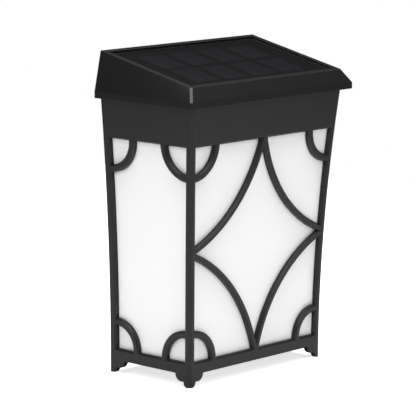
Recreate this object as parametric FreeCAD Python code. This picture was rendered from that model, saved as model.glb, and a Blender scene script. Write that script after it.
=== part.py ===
import FreeCAD, Part
import math
import os

# Solar fence lantern: a half lantern that hangs flat on a fence post or a wall.
# Lengths are millimetres. The pieces are laid out against the fence plane, y = 0, with the
# front at negative y, +Z up and the feet on z = 0. They are saved half a depth further back,
# so that the origin lies under the middle of the lantern.

V = FreeCAD.Vector
OUT_DIR = "parts"

# ---- driving dimensions ----------------------------------------------------------------------
LANTERN_HEIGHT = 170.0        # back edge of the roof above the toes of the feet
LANTERN_DEPTH = 67.9          # fence plane to the front of the roof
ROOF_WIDTH = 126.4

# housing: plain walls that curve outwards as they rise
FLARE_RADIUS = 1500.0         # the walls stand upright at the feet
BASE_HALF_WIDTH = 51.5
BASE_DEPTH = 56.6
WALL = 2.6
CORNER_RADIUS = 1.8
EAVES_HEIGHT = 145.8
HOUSING_TOP = 148.3           # the walls reach this far up inside the roof
FLOOR_THICKNESS = 2.0

# windows and their lattice
RAIL_BOTTOM = 6.8
SILL = 12.9
HEAD = 124.9
JAMB = 4.1
BACK_JAMB = 3.5
HEAD_RING_RADII = (18.0, 14.0)
SILL_RING_RADII = (16.4, 12.6)
SWEEP_BAR = 3.4               # width of the long curved bars
BAR_BEVEL = 0.8               # softened outer edges of the bars and window frames
HEAD_SWEEP = (77.0, 145.0, 79.0)    # centre x, centre z and radius of the upper pair
SILL_SWEEP = (80.0, -7.6, 82.0)

# scalloped feet
TOE_WIDTH = 4.3
TOE_RADIUS = 2.5
INSTEP_START = 6.2
INSTEP_END = 10.1

# roof
FASCIA_HEIGHT = 3.3
ROOF_SLOPE = 12.5             # degrees, falling to the front
RIM_HALF_WIDTH = 58.65
RIM_DEPTH = 63.5
ROOF_CORNER = 1.0
ROOF_WALL = 2.5
RIM_WIDTH = 3.3
PANEL_SINK = 1.0              # the panel's face lies this far under the rim

# solar panel
PANEL_GAP = 0.6               # filled by the sealing bead
PANEL_BOARD = 1.6
PANEL_FACE = 1.0
CELL_COLUMNS = 4
CELL_ROWS = 2
CELL_SIZE = (17.3, 19.9, 0.25)
CELL_PITCH = (22.1, 23.7)

# frosted diffuser
DIFFUSER_GAP = 0.3
DIFFUSER_WALL = 1.4
DIFFUSER_TOP = 126.1

# lugs inside the band that the roof screws pass through
LUG_HALF = 5.0
LUG_THICKNESS = 2.5
LUG_GUSSET = (1.5, 9.0)       # thickness, and how far down the wall it runs
ROOF_SCREW_HOLE = 1.6

# back plate
BACK_SET_IN = 1.0
BACK_THICKNESS = 2.4
BACK_CLEARANCE = 0.25
KEYHOLE_Z = 131.0
KEYHOLE_RADIUS = 4.5
KEYHOLE_SLOT = 4.8
KEYHOLE_RISE = 8.0
POCKET_DEPTH = 4.4
POCKET_SKIN = 1.2
POCKET_MARGIN = 0.5           # room round the keyhole inside its pocket
BACK_RIBS = (-38.0, 0.0, 38.0)
BACK_RIB = (1.4, 2.5)         # width and height
TONGUES = (-30.0, 30.0)
TONGUE_HALF = 5.0
TONGUE_GAP = 0.3
BACK_SCREW = (49.0, 140.0)    # x and z of the two back screws
BACK_SCREW_HOLE = 1.5
BACK_SCREW_SINK = (3.0, 1.2)  # radius and depth of the recess for its head
BOSS_RADIUS = 3.2
BOSS_LENGTH = 7.0
BOSS_WEB = 2.4
BOSS_PILOT = (1.05, 6.0)      # radius and depth

# white sheet behind the lamp room
REFLECTOR_THICKNESS = 0.5
REFLECTOR_GAP = 0.4

# drain holes in the floor
DRAIN_RADIUS = 1.5
DRAINS = ((-30.0, -45.0), (30.0, -45.0))

# tray that carries the lamp's works, slid in on rails from behind
TRAY_Z = 129.0
TRAY_THICKNESS = 2.0
TRAY_HALF_WIDTH = 54.0
TRAY_Y = (-59.0, -8.8)
TRAY_GRIP = (12.0, 1.5, 2.5)  # half width, thickness and height
TRAY_SLOT = (41.8, 45.2, -41.5, -35.5)
RAIL_REACH = 3.5              # how far the rails reach in past the tray's edge
RAIL_FRONT = -57.0
LOWER_RAIL = (-8.0, 1.8)      # back end and thickness
UPPER_RAIL = (-18.0, 1.4)
RAIL_GAP = 0.2
BOARD_POST = (2.5, 3.5)       # radius and height
LED_POST = (2.2, 2.0)
POST_PILOT = 0.9
POST_FLOOR = 0.6              # plastic left over a pilot's blind end

# roof fixings
ROOF_POST = 3.2
ROOF_PILOT = (1.3, 5.0)
SEAT_THICKNESS = 1.6
LEAD_WINDOW = (-2.0, 6.0, -37.5, -28.5)

# lamp board
LED_BOARD = (35.0, -42.0, -26.0, 1.6)      # half length, front, back and thickness
LED_PLACES = [(x, y) for x in (-22.0, 0.0, 22.0) for y in (-38.0, -30.0)]
LED_CHIP = (1.8, 1.4, 0.9)                 # half sizes and height
LED_LENS = (1.2, 0.9, 0.25)
BOARD_HOLE = 1.15

# power button in the back plate
BUTTON_X = 38.0
BUTTON_Z = 137.0
BUTTON_RADIUS = 3.2
BUTTON_FACE = -0.6
BUTTON_BEVEL = 0.5
BUTTON_TRAVEL = 1.5
FLANGE_RADIUS = 3.9
FLANGE_THICKNESS = 1.0
RUNNING_GAP = 0.3

# push switch behind the button
SWITCH_HALF = 4.25
SWITCH_FRONT = -7.0
SWITCH_BACK = -15.0
SWITCH_WELL = (1.8, 4.5)      # half width and depth
STEM = (1.5, 2.5)             # half width, and how far it stands in the well
SOCKET_WALL = 1.5
PIN_PITCH = 2.5
PIN = (0.35, 0.2, 3.0)        # half sizes and length

# battery, an AA cell in its holder
CELL_RADIUS = 7.1
CELL_LENGTH = 48.5
CELL_START = -22.3
CELL_SHOULDER = 0.7
CELL_NUB = (2.7, 0.4)         # radius, and how far it stands out
BATTERY_Y = -20.0
HOLDER_HALF = 28.5
HOLDER_WALL = 1.5
HOLDER_SIDE = 1.4
HOLDER_RISE = 5.0             # end walls above the cell's axis
CHEEK_RISE = 1.5
THUMB_NOTCH = (9.0, 4.5, 6.4)  # half width at the top and at the bottom, and depth
CONTACT_STRIP = 0.4
CONTACT_HALF = 3.0
CONTACT_DROP = 4.0
CONTACT_TAB = 1.0
SPRING_HALF = 2.5
SPRING_PAD = 0.8

# control board and what stands on it
CONTROL_BOARD = (-11.0, 27.0, -56.0, -35.0, 1.6)
CHIP = (3.0, 8.0, -50.5, -46.5, 1.45)
CHIP_STAND = 0.15
CHIP_LEGS = 4
CHIP_PITCH = 1.27
CHIP_LEG = (0.4, 1.0, 0.25)   # width, reach and thickness
CHOKE_PLACE = (16.0, -48.5)
CHOKE_DISCS = ((3.5, 0, 1.1), (2.7, 1.1, 3.9), (3.5, 3.9, 5.0))   # radius, bottom and top
CAPACITOR_PLACE = (-5.0, -43.0)
CAPACITOR_FOOT = (2.6, 0.8)
CAPACITOR_CAN = (2.5, 5.4)
CONNECTORS = [(2.0, -38.5), (12.0, -38.5), (22.0, -38.5)]
CONNECTOR = (3.0, 2.6, 6.0)   # half sizes and height
CONNECTOR_NOTCH = (1.5, 0.6, 2.0)
WIRE_PITCH = 2.5

# screws: shank radius, shank length, head radius, head height
ROOF_SCREW = (1.25, 7.0, 2.8, 1.8)
BACK_PLATE_SCREW = (1.0, 6.5, 2.6, 1.5)
BOARD_SCREW = (0.85, 5.0, 1.8, 1.2)
LED_SCREW = (0.85, 4.4, 1.8, 1.0)
PEG_SIDES = 12
ROUND_SIDES = 24              # for the larger hidden rounds

# leads
LEAD_RADIUS = 0.6
LEAD_SIDES = 8
LEAD_TURN = 1.8               # a turn is taken between two points this far from its corner
PANEL_LEAD_RISE = (5.5, 10.0)
PANEL_LEAD_Y = -33.0
BATTERY_LEAD_X = 34.0
LAMP_LEAD_RISE = 3.2
LAMP_LEAD_X = 43.5
SWITCH_LEAD_Y = (-42.0, -45.0)
SWITCH_LEAD_START = -30.0

TOUCH = 0.02                  # how close a point counts as lying on a face

# ---- sizes that follow -----------------------------------------------------------------------
SLOPE = math.radians(ROOF_SLOPE)
ROOF_HALF_WIDTH = ROOF_WIDTH / 2
FLOOR_TOP = RAIL_BOTTOM + FLOOR_THICKNESS
LUG_LOW = EAVES_HEIGHT - LUG_THICKNESS
BACK_OUTER = -BACK_SET_IN
BACK_INNER = -(BACK_SET_IN + BACK_THICKNESS)
TRAY_TOP = TRAY_Z + TRAY_THICKNESS
CEILING_DROP = PANEL_SINK + PANEL_FACE + PANEL_BOARD + 2.0
PANEL_TOP_N = -PANEL_SINK
PANEL_MID_N = PANEL_TOP_N - PANEL_FACE
PANEL_LOW_N = PANEL_MID_N - PANEL_BOARD
RIM_SLOPE_LENGTH = RIM_DEPTH / math.cos(SLOPE)
ROOF_TABS = [(x, y) for x in (-49.5, 49.5) for y in (-54.5, -16.5)]
BOARD_POSTS = [(-7.0, -52.0), (24.0, -52.0)]
LED_SCREWS = [(-32.0, -34.0), (32.0, -34.0)]
LED_BOARD_LOW = TRAY_Z - LED_BOARD[3]
FLANGE_OUTER = BACK_INNER - RUNNING_GAP
FLANGE_INNER = FLANGE_OUTER - FLANGE_THICKNESS
BATTERY_Z = TRAY_TOP + 1.5 + CELL_RADIUS
HOLDER_TOP = BATTERY_Z + HOLDER_RISE
BOARD_LOW = TRAY_TOP + BOARD_POST[1]
BOARD_TOP = BOARD_LOW + CONTROL_BOARD[4]
CONNECTOR_TOP = BOARD_TOP + CONNECTOR[2]
ABOVE = 1.0                   # how far a cutting tool runs past the face that it opens


# ---- small helpers ---------------------------------------------------------------------------
def save(name, shape):
    """Write one piece, with the origin moved under the middle of the lantern."""
    piece = shape.copy()
    piece.translate(V(0, LANTERN_DEPTH / 2, 0))
    piece.exportStep(os.path.join(OUT_DIR, name + ".step"))


def block(x_low, x_high, y_low, y_high, z_low, z_high):
    corner = V(x_low, y_low, z_low)
    return Part.makeBox(x_high - x_low, y_high - y_low, z_high - z_low, corner)


def rod(radius, start, end):
    run = end - start
    return Part.makeCylinder(radius, run.Length, start, run)


def peg(radius, start, end, sides=PEG_SIDES):
    """Rod with flat sides, for the small hidden pieces and the holes that they go in."""
    run = end - start
    axis = V(run).normalize()
    spoke = axis.cross(V(0, 1, 0) if abs(axis.x) > 0.5 else V(1, 0, 0)) * radius
    turns = [FreeCAD.Rotation(axis, 360.0 * index / sides) for index in range(sides)]
    return polygon_face([start + turn.multVec(spoke) for turn in turns]).extrude(run)


def line(start, end):
    return Part.LineSegment(start, end).toShape()


def arc(start, middle, end):
    return Part.Arc(start, middle, end).toShape()


def polygon_face(points):
    return Part.Face(Part.makePolygon(points + [points[0]]))


def group(shapes):
    return Part.makeCompound(shapes)


def flare(z):
    """How far the walls have leaned out at height z."""
    return FLARE_RADIUS - math.sqrt(FLARE_RADIUS ** 2 - z ** 2)


def rim_height(y):
    """Height of the plane through the roof's rim."""
    return LANTERN_HEIGHT + y * math.tan(SLOPE)


def on_slope(shape):
    """Tilt a piece drawn flat at the origin onto the plane of the roof's rim."""
    shape.rotate(V(0, 0, 0), V(1, 0, 0), ROOF_SLOPE)
    shape.translate(V(0, 0, LANTERN_HEIGHT))
    return shape


def slope_block(half_width, s_low, s_high, n_low, n_high):
    """A box along the roof: s runs down the slope from the back, n is the height over the rim."""
    return on_slope(block(-half_width, half_width, -s_high, -s_low, n_low, n_high))


# ---- flared forms ----------------------------------------------------------------------------
def front_outline(half_width, z_low, z_high):
    """Face across the front between two leaning sides."""
    def side(sign, z):
        return V(sign * (half_width + flare(z)), 0, z)
    z_mid = (z_low + z_high) / 2
    return Part.Face(Part.Wire([
        arc(side(-1, z_low), side(-1, z_mid), side(-1, z_high)),
        line(side(-1, z_high), side(1, z_high)),
        arc(side(1, z_high), side(1, z_mid), side(1, z_low)),
        line(side(1, z_low), side(-1, z_low))]))


def side_outline(depth, z_low, z_high, back):
    """Face along the side, from the back to the leaning front."""
    def front(z):
        return V(0, -(depth + flare(z)), z)
    z_mid = (z_low + z_high) / 2
    return Part.Face(Part.Wire([
        arc(front(z_low), front(z_mid), front(z_high)),
        line(front(z_high), V(0, back, z_high)),
        line(V(0, back, z_high), V(0, back, z_low)),
        line(V(0, back, z_low), front(z_low))]))


def flared_block(half_width, depth, z_low, z_high, back):
    """Solid between the leaning front, the two leaning sides and a flat back."""
    across = front_outline(half_width, z_low, z_high)
    across.translate(V(0, back, 0))
    along = side_outline(depth, z_low, z_high, back)
    along.translate(V(-ROOF_WIDTH, 0, 0))
    return across.extrude(V(0, -2 * depth, 0)).common(along.extrude(V(2 * ROOF_WIDTH, 0, 0)))


def rounded_plan(z):
    """Outline of the housing at height z, with its two front corners rounded."""
    half, front = BASE_HALF_WIDTH + flare(z), -(BASE_DEPTH + flare(z))
    diagonal = CORNER_RADIUS * (1 - math.sqrt(0.5))
    right = [V(half, 0, z), V(half, front + CORNER_RADIUS, z),
             V(half - diagonal, front + diagonal, z), V(half - CORNER_RADIUS, front, z)]
    left = [V(-point.x, point.y, z) for point in right]
    return Part.Wire([
        line(right[0], right[1]), arc(right[1], right[2], right[3]), line(right[3], left[3]),
        arc(left[3], left[2], left[1]), line(left[1], left[0]), line(left[0], right[0])])


def rounded_block(z_low, z_high):
    """Flared housing block through three rounded outlines."""
    levels = (z_low, (z_low + z_high) / 2, z_high)
    return Part.makeLoft([rounded_plan(z) for z in levels], True, False, False, 2)


def ring_face(centre, radii, axis):
    outer, inner = radii
    disc = Part.Face(Part.Wire(Part.makeCircle(outer, centre, axis)))
    return disc.cut(Part.Face(Part.Wire(Part.makeCircle(inner, centre, axis))))


# ---- lantern frame ---------------------------------------------------------------------------
def front_openings():
    """Prisms of the gaps between the bars of the front."""
    window = front_outline(BASE_HALF_WIDTH - JAMB, SILL, HEAD)
    half_bar = SWEEP_BAR / 2
    bars = []
    for sign in (-1, 1):
        head_x = sign * (BASE_HALF_WIDTH - JAMB + flare(HEAD))
        sill_x = sign * (BASE_HALF_WIDTH - JAMB + flare(SILL))
        bars.append(ring_face(V(head_x, 0, HEAD), HEAD_RING_RADII, V(0, 1, 0)))
        bars.append(ring_face(V(sill_x, 0, SILL), SILL_RING_RADII, V(0, 1, 0)))
        for x, z, radius in (HEAD_SWEEP, SILL_SWEEP):
            radii = (radius + half_bar, radius - half_bar)
            bars.append(ring_face(V(sign * x, 0, z), radii, V(0, 1, 0)))
    gaps = window.cut(bars)
    gaps.translate(V(0, -1.4 * BASE_DEPTH, 0))
    return [gap.extrude(V(0, 0.9 * BASE_DEPTH, 0)) for gap in gaps.Faces]


def side_openings():
    """Prisms of the gaps of both sides, which carry only the four corner rings."""
    window = side_outline(BASE_DEPTH - JAMB, SILL, HEAD, -BACK_JAMB)
    head_y = -(BASE_DEPTH - JAMB + flare(HEAD))
    sill_y = -(BASE_DEPTH - JAMB + flare(SILL))
    rings = [(head_y, HEAD, HEAD_RING_RADII), (-BACK_JAMB, HEAD, HEAD_RING_RADII),
             (sill_y, SILL, SILL_RING_RADII), (-BACK_JAMB, SILL, SILL_RING_RADII)]
    gaps = window.cut([ring_face(V(0, y, z), radii, V(1, 0, 0)) for y, z, radii in rings])
    gaps.translate(V(-ROOF_WIDTH, 0, 0))
    return [gap.extrude(V(2 * ROOF_WIDTH, 0, 0)) for gap in gaps.Faces]


def foot_gap(low_edge, high_edge):
    """Outline, in u and z, of the space under the rail between two scalloped feet."""
    diagonal = TOE_RADIUS * (1 - math.sqrt(0.5))
    toe_top = TOE_WIDTH - diagonal
    instep = INSTEP_END - INSTEP_START
    instep_z = RAIL_BOTTOM - instep
    bulge = instep * math.sqrt(0.5)

    def foot(edge, sign):
        def at(t, z):
            return V(edge + sign * t, 0, z)
        toe = arc(at(TOE_WIDTH - TOE_RADIUS, 0), at(toe_top, diagonal),
                  at(TOE_WIDTH, TOE_RADIUS))
        riser = line(at(TOE_WIDTH, TOE_RADIUS), at(TOE_WIDTH, instep_z))
        flat = line(at(TOE_WIDTH, instep_z), at(INSTEP_START, instep_z))
        lobe = arc(at(INSTEP_START, instep_z),
                   at(INSTEP_START + bulge, RAIL_BOTTOM - bulge),
                   at(INSTEP_END, RAIL_BOTTOM))
        drop = line(at(TOE_WIDTH - TOE_RADIUS, -1), at(TOE_WIDTH - TOE_RADIUS, 0))
        return [drop, toe, riser, flat, lobe]
    left = foot(low_edge, 1)
    right = foot(high_edge, -1)
    top = line(V(low_edge + INSTEP_END, 0, RAIL_BOTTOM), V(high_edge - INSTEP_END, 0, RAIL_BOTTOM))
    ground = line(V(low_edge + TOE_WIDTH - TOE_RADIUS, 0, -1),
                  V(high_edge - TOE_WIDTH + TOE_RADIUS, 0, -1))
    return Part.Face(Part.Wire(Part.__sortEdges__(left + [top] + right + [ground])))


def foot_cuts():
    """Prisms under the front rail and under both side rails."""
    front = foot_gap(-BASE_HALF_WIDTH, BASE_HALF_WIDTH)
    front.translate(V(0, -1.2 * BASE_DEPTH, 0))
    side = foot_gap(0, BASE_DEPTH)
    side.rotate(V(0, 0, 0), V(0, 0, 1), -90)
    side.translate(V(-ROOF_WIDTH, 0, 0))
    return [front.extrude(V(0, 0.5 * BASE_DEPTH, 0)), side.extrude(V(2 * ROOF_WIDTH, 0, 0))]


def is_window_edge(edge):
    """True for the edges where the openings break through the outer faces."""
    first, last = edge.ParameterRange
    for step in range(5):
        point = edge.valueAt(first + (last - first) * step / 4)
        half, depth = BASE_HALF_WIDTH + flare(point.z), BASE_DEPTH + flare(point.z)
        on_front = abs(point.y + depth) < TOUCH and abs(point.x) < half - JAMB + TOUCH
        on_side = abs(abs(point.x) - half) < TOUCH and -depth + JAMB - TOUCH < point.y < -BACK_JAMB / 2
        if not (on_front or on_side) or not SILL - TOUCH < point.z < HEAD + TOUCH:
            return False
    return True


def roof_lug(x, y):
    """Lug inside the band, with a gusset, that one roof screw passes through."""
    sign = math.copysign(1, x)
    wall_x = sign * (BASE_HALF_WIDTH + flare(EAVES_HEIGHT) - WALL / 2)
    low_x, high_x = sorted((x - sign * LUG_HALF, wall_x))
    lug = block(low_x, high_x, y - LUG_HALF, y + LUG_HALF, LUG_LOW, EAVES_HEIGHT)
    thickness, drop = LUG_GUSSET
    gusset = polygon_face([V(low_x, y - LUG_HALF, LUG_LOW), V(high_x, y - LUG_HALF, LUG_LOW),
                           V(wall_x, y - LUG_HALF, EAVES_HEIGHT - drop)])
    hole = peg(ROOF_SCREW_HOLE, V(x, y, LUG_LOW - ABOVE), V(x, y, EAVES_HEIGHT + ABOVE))
    return lug.fuse(gusset.extrude(V(0, thickness, 0))).cut(hole)


def tray_rail(sign):
    """Pair of ledges on one side wall that the tray slides between."""
    outer = BASE_HALF_WIDTH + flare(TRAY_Z) - WALL / 2
    low_x, high_x = sorted((sign * (TRAY_HALF_WIDTH - RAIL_REACH), sign * outer))
    back, thickness = LOWER_RAIL
    lower = block(low_x, high_x, RAIL_FRONT, back, TRAY_Z - thickness, TRAY_Z)
    back, thickness = UPPER_RAIL
    seat = TRAY_TOP + RAIL_GAP
    return lower.fuse(block(low_x, high_x, RAIL_FRONT, back, seat, seat + thickness))


def back_screw_boss(sign):
    """Round boss on the side wall, with a web, that one back screw bites into."""
    x, z = sign * BACK_SCREW[0], BACK_SCREW[1]
    wall_x = sign * (BASE_HALF_WIDTH + flare(z) - WALL / 2)
    low_x, high_x = sorted((x, wall_x))
    boss = peg(BOSS_RADIUS, V(x, BACK_INNER, z), V(x, BACK_INNER - BOSS_LENGTH, z))
    web = block(low_x, high_x, BACK_INNER - BOSS_LENGTH, BACK_INNER, z - BOSS_WEB / 2, z + BOSS_WEB / 2)
    radius, depth = BOSS_PILOT
    return boss.fuse(web).cut(peg(radius, V(x, BACK_INNER + ABOVE, z), V(x, BACK_INNER - depth, z)))


def lattice_walls():
    """The three flared walls, hollowed from above and below and pierced by the lattice."""
    half, depth = BASE_HALF_WIDTH - WALL, BASE_DEPTH - WALL
    room = flared_block(half, depth, FLOOR_TOP, HOUSING_TOP + ABOVE, 2 * ABOVE)
    under = flared_block(half, depth, -3 * ABOVE, RAIL_BOTTOM, 2 * ABOVE)
    walls = rounded_block(-2 * ABOVE, HOUSING_TOP).cut([room, under])
    walls = walls.cut(front_openings() + side_openings())
    rims = [edge for edge in walls.Edges if is_window_edge(edge)]
    return walls.makeChamfer(BAR_BEVEL, rims)


def lantern_frame():
    """The housing in one moulding: walls, floor, scalloped feet, lugs, rails and bosses."""
    ground = block(-ROOF_WIDTH, ROOF_WIDTH, -LANTERN_DEPTH, 5 * ABOVE, -3 * ABOVE, 0)
    back_rim = block(-ROOF_WIDTH, ROOF_WIDTH, -ROOF_WALL - RUNNING_GAP, ABOVE,
                     EAVES_HEIGHT - 0.2, HOUSING_TOP + ABOVE)
    drains = [peg(DRAIN_RADIUS, V(x, y, 0), V(x, y, SILL)) for x, y in DRAINS]
    reach = TONGUE_HALF + TONGUE_GAP
    slots = [block(x - reach, x + reach, BACK_INNER - TONGUE_GAP, BACK_OUTER + TONGUE_GAP, 0, SILL)
             for x in TONGUES]
    shell = lattice_walls().cut([ground, back_rim] + drains + slots + foot_cuts())
    lugs = [roof_lug(x, y) for x, y in ROOF_TABS]
    lugs += [tray_rail(-1), tray_rail(1), back_screw_boss(-1), back_screw_boss(1)]
    return shell.fuse(lugs)


# ---- diffuser, back plate and reflector ------------------------------------------------------
def diffuser():
    """Frosted box behind the lattice, open at the top and at the back."""
    half = BASE_HALF_WIDTH - WALL - DIFFUSER_GAP
    depth = BASE_DEPTH - WALL - DIFFUSER_GAP
    back = BACK_INNER - DIFFUSER_GAP
    outer = flared_block(half, depth, FLOOR_TOP, DIFFUSER_TOP, back)
    inner = flared_block(half - DIFFUSER_WALL, depth - DIFFUSER_WALL,
                         FLOOR_TOP + DIFFUSER_WALL, DIFFUSER_TOP + 1, back + 1)
    return outer.cut(inner)


def keyhole(y_front, y_back, radius, slot, rise):
    head = rod(radius, V(0, y_back, KEYHOLE_Z), V(0, y_front, KEYHOLE_Z))
    top = KEYHOLE_Z + rise
    neck = block(-slot / 2, slot / 2, y_front, y_back, KEYHOLE_Z, top)
    end = rod(slot / 2, V(0, y_back, top), V(0, y_front, top))
    return head.fuse([neck, end])


def keyhole_pocket():
    """Closed pocket moulded behind the keyhole, so that no rain gets in round the hook."""
    far = BACK_INNER - POCKET_DEPTH
    blocks = []
    for grow in (POCKET_SKIN, 0):
        half = KEYHOLE_RADIUS + POCKET_MARGIN + grow
        low, high = KEYHOLE_Z - half, KEYHOLE_Z + KEYHOLE_RISE + half
        slant = half / 2
        side = [V(half, 0, low), V(half, 0, high - slant), V(half - slant, 0, high)]
        back = far + POCKET_SKIN - grow
        outline = polygon_face(side + [V(-point.x, 0, point.z) for point in reversed(side)])
        outline.translate(V(0, BACK_INNER, 0))
        blocks.append(outline.extrude(V(0, back - BACK_INNER, 0)))
    return blocks[0].cut(blocks[1])


def switch_socket():
    """Square sleeve on the back plate that holds the push switch behind its button."""
    half = SWITCH_HALF + SOCKET_WALL
    outer = block(BUTTON_X - half, BUTTON_X + half, SWITCH_BACK, BACK_INNER,
                  BUTTON_Z - half, BUTTON_Z + half)
    inner = block(BUTTON_X - SWITCH_HALF, BUTTON_X + SWITCH_HALF, SWITCH_BACK - ABOVE,
                  BACK_INNER + ABOVE, BUTTON_Z - SWITCH_HALF, BUTTON_Z + SWITCH_HALF)
    return outer.cut(inner)


def back_plate():
    """Flat cover of the back, with the hanging keyhole, button hole, ribs and tongues."""
    plate = front_outline(BASE_HALF_WIDTH - WALL - BACK_CLEARANCE, FLOOR_TOP, EAVES_HEIGHT - 0.3)
    plate.translate(V(0, BACK_OUTER, 0))
    plate = plate.extrude(V(0, -BACK_THICKNESS, 0))
    width, height = BACK_RIB
    ribs = [block(x - width / 2, x + width / 2, BACK_INNER - height, BACK_INNER, SILL - 1, HEAD - 2)
            for x in BACK_RIBS]
    tongues = [block(x - TONGUE_HALF, x + TONGUE_HALF, BACK_INNER, BACK_OUTER, RAIL_BOTTOM, FLOOR_TOP)
               for x in TONGUES]
    past = BACK_INNER - ABOVE
    holes = [keyhole(past, ABOVE, KEYHOLE_RADIUS, KEYHOLE_SLOT, KEYHOLE_RISE),
             rod(BUTTON_RADIUS + RUNNING_GAP, V(BUTTON_X, ABOVE, BUTTON_Z), V(BUTTON_X, past, BUTTON_Z))]
    radius, depth = BACK_SCREW_SINK
    for sign in (-1, 1):
        x, z = sign * BACK_SCREW[0], BACK_SCREW[1]
        holes.append(peg(BACK_SCREW_HOLE, V(x, ABOVE, z), V(x, past, z)))
        holes.append(peg(radius, V(x, ABOVE, z), V(x, BACK_OUTER - depth, z), ROUND_SIDES))
    return plate.cut(holes).fuse(ribs + tongues + [keyhole_pocket(), switch_socket()])


def back_reflector():
    """White sheet that stands on the diffuser's floor against the back plate's ribs."""
    clearance = WALL + DIFFUSER_GAP + DIFFUSER_WALL + REFLECTOR_GAP
    sheet = front_outline(BASE_HALF_WIDTH - clearance, FLOOR_TOP + DIFFUSER_WALL, HEAD - 1)
    sheet.translate(V(0, BACK_INNER - BACK_RIB[1], 0))
    return sheet.extrude(V(0, -REFLECTOR_THICKNESS, 0))


# ---- roof ------------------------------------------------------------------------------------
def roof_outline(half_width, depth, back, height):
    """Plan of the roof with small flats at its front corners; height is a function of y."""
    flat = ROOF_CORNER
    plan = [(-half_width, back), (-half_width, -depth + flat), (-half_width + flat, -depth),
            (half_width - flat, -depth), (half_width, -depth + flat), (half_width, back)]
    points = [V(x, y, height(y)) for x, y in plan]
    return Part.makePolygon(points + [points[0]])


def ruled_solid(low_wire, high_wire):
    return Part.makeLoft([low_wire, high_wire], True, True)


def roof_body():
    """Upright fascia with the skirt that leans in from it up to the sloping rim."""
    fascia_top = EAVES_HEIGHT + FASCIA_HEIGHT
    base = roof_outline(ROOF_HALF_WIDTH, LANTERN_DEPTH, 0, lambda y: EAVES_HEIGHT)
    fascia = Part.Face(base).extrude(V(0, 0, FASCIA_HEIGHT))
    foot = roof_outline(ROOF_HALF_WIDTH, LANTERN_DEPTH, 0, lambda y: fascia_top)
    rim = roof_outline(RIM_HALF_WIDTH, RIM_DEPTH, 0, rim_height)
    return fascia.fuse(ruled_solid(foot, rim))


def roof_hollow():
    """The room inside the roof, up to the ceiling under the panel."""
    drop = CEILING_DROP / math.cos(SLOPE)
    half, depth = ROOF_HALF_WIDTH - ROOF_WALL, LANTERN_DEPTH - ROOF_WALL
    low = roof_outline(half, depth, -ROOF_WALL, lambda y: EAVES_HEIGHT - 1)
    pocket = Part.Face(low).extrude(V(0, 0, HOUSING_TOP - EAVES_HEIGHT + 1))
    foot = roof_outline(half, depth, -ROOF_WALL, lambda y: HOUSING_TOP)
    ceiling = roof_outline(half - 3.3, RIM_DEPTH - ROOF_WALL, -ROOF_WALL,
                           lambda y: rim_height(y) - drop)
    return pocket.fuse(ruled_solid(foot, ceiling))


def roof_seat():
    """Inner ring of the roof that rests on the top edge of the housing's walls."""
    inner_half = BASE_HALF_WIDTH + flare(HOUSING_TOP) - WALL
    inner_depth = BASE_DEPTH + flare(HOUSING_TOP) - WALL
    outer = block(-ROOF_HALF_WIDTH, ROOF_HALF_WIDTH, -LANTERN_DEPTH, -1,
                  HOUSING_TOP, HOUSING_TOP + SEAT_THICKNESS)
    return outer.cut(block(-inner_half, inner_half, -inner_depth, -ROOF_WALL,
                           HOUSING_TOP - ABOVE, HOUSING_TOP + SEAT_THICKNESS + ABOVE))


def roof_shell():
    """Roof moulding: skirt, seat, screw posts and the sunk bed of the panel."""
    body = roof_body()
    shell = body.cut(roof_hollow())
    posts = [peg(ROOF_POST, V(x, y, EAVES_HEIGHT), V(x, y, rim_height(y) - CEILING_DROP + 0.5))
             for x, y in ROOF_TABS]
    radius, depth = ROOF_PILOT
    pilots = [peg(radius, V(x, y, EAVES_HEIGHT - ABOVE), V(x, y, EAVES_HEIGHT + depth))
              for x, y in ROOF_TABS]
    bed = slope_block(RIM_HALF_WIDTH - RIM_WIDTH, RIM_WIDTH, RIM_SLOPE_LENGTH - RIM_WIDTH,
                      PANEL_LOW_N, 5 * ABOVE)
    lead_window = block(*LEAD_WINDOW, HOUSING_TOP + 2, LANTERN_HEIGHT)
    seat = roof_seat().common(body)
    return shell.fuse([seat] + posts).cut(pilots + [bed, lead_window])


# ---- solar panel -----------------------------------------------------------------------------
def panel_slab(inset, n_low, n_high):
    half = RIM_HALF_WIDTH - RIM_WIDTH - inset
    return slope_block(half, RIM_WIDTH + inset, RIM_SLOPE_LENGTH - RIM_WIDTH - inset, n_low, n_high)


def solar_cells():
    """Separate cells in rows across the panel, on the board and under the clear face."""
    width, length, thickness = CELL_SIZE
    middle = RIM_SLOPE_LENGTH / 2
    cells = []
    for column in range(CELL_COLUMNS):
        for row in range(CELL_ROWS):
            x = (column - (CELL_COLUMNS - 1) / 2) * CELL_PITCH[0]
            s = middle + (row - (CELL_ROWS - 1) / 2) * CELL_PITCH[1]
            cell = block(x - width / 2, x + width / 2, -s - length / 2, -s + length / 2,
                         PANEL_MID_N, PANEL_MID_N + thickness)
            cells.append(on_slope(cell))
    return cells


def panel_seal():
    """Bead of sealant that fills the gap round the panel."""
    outer = panel_slab(0, PANEL_LOW_N, PANEL_TOP_N - 0.2)
    return outer.cut(panel_slab(PANEL_GAP, PANEL_LOW_N - 1, 1))


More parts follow.
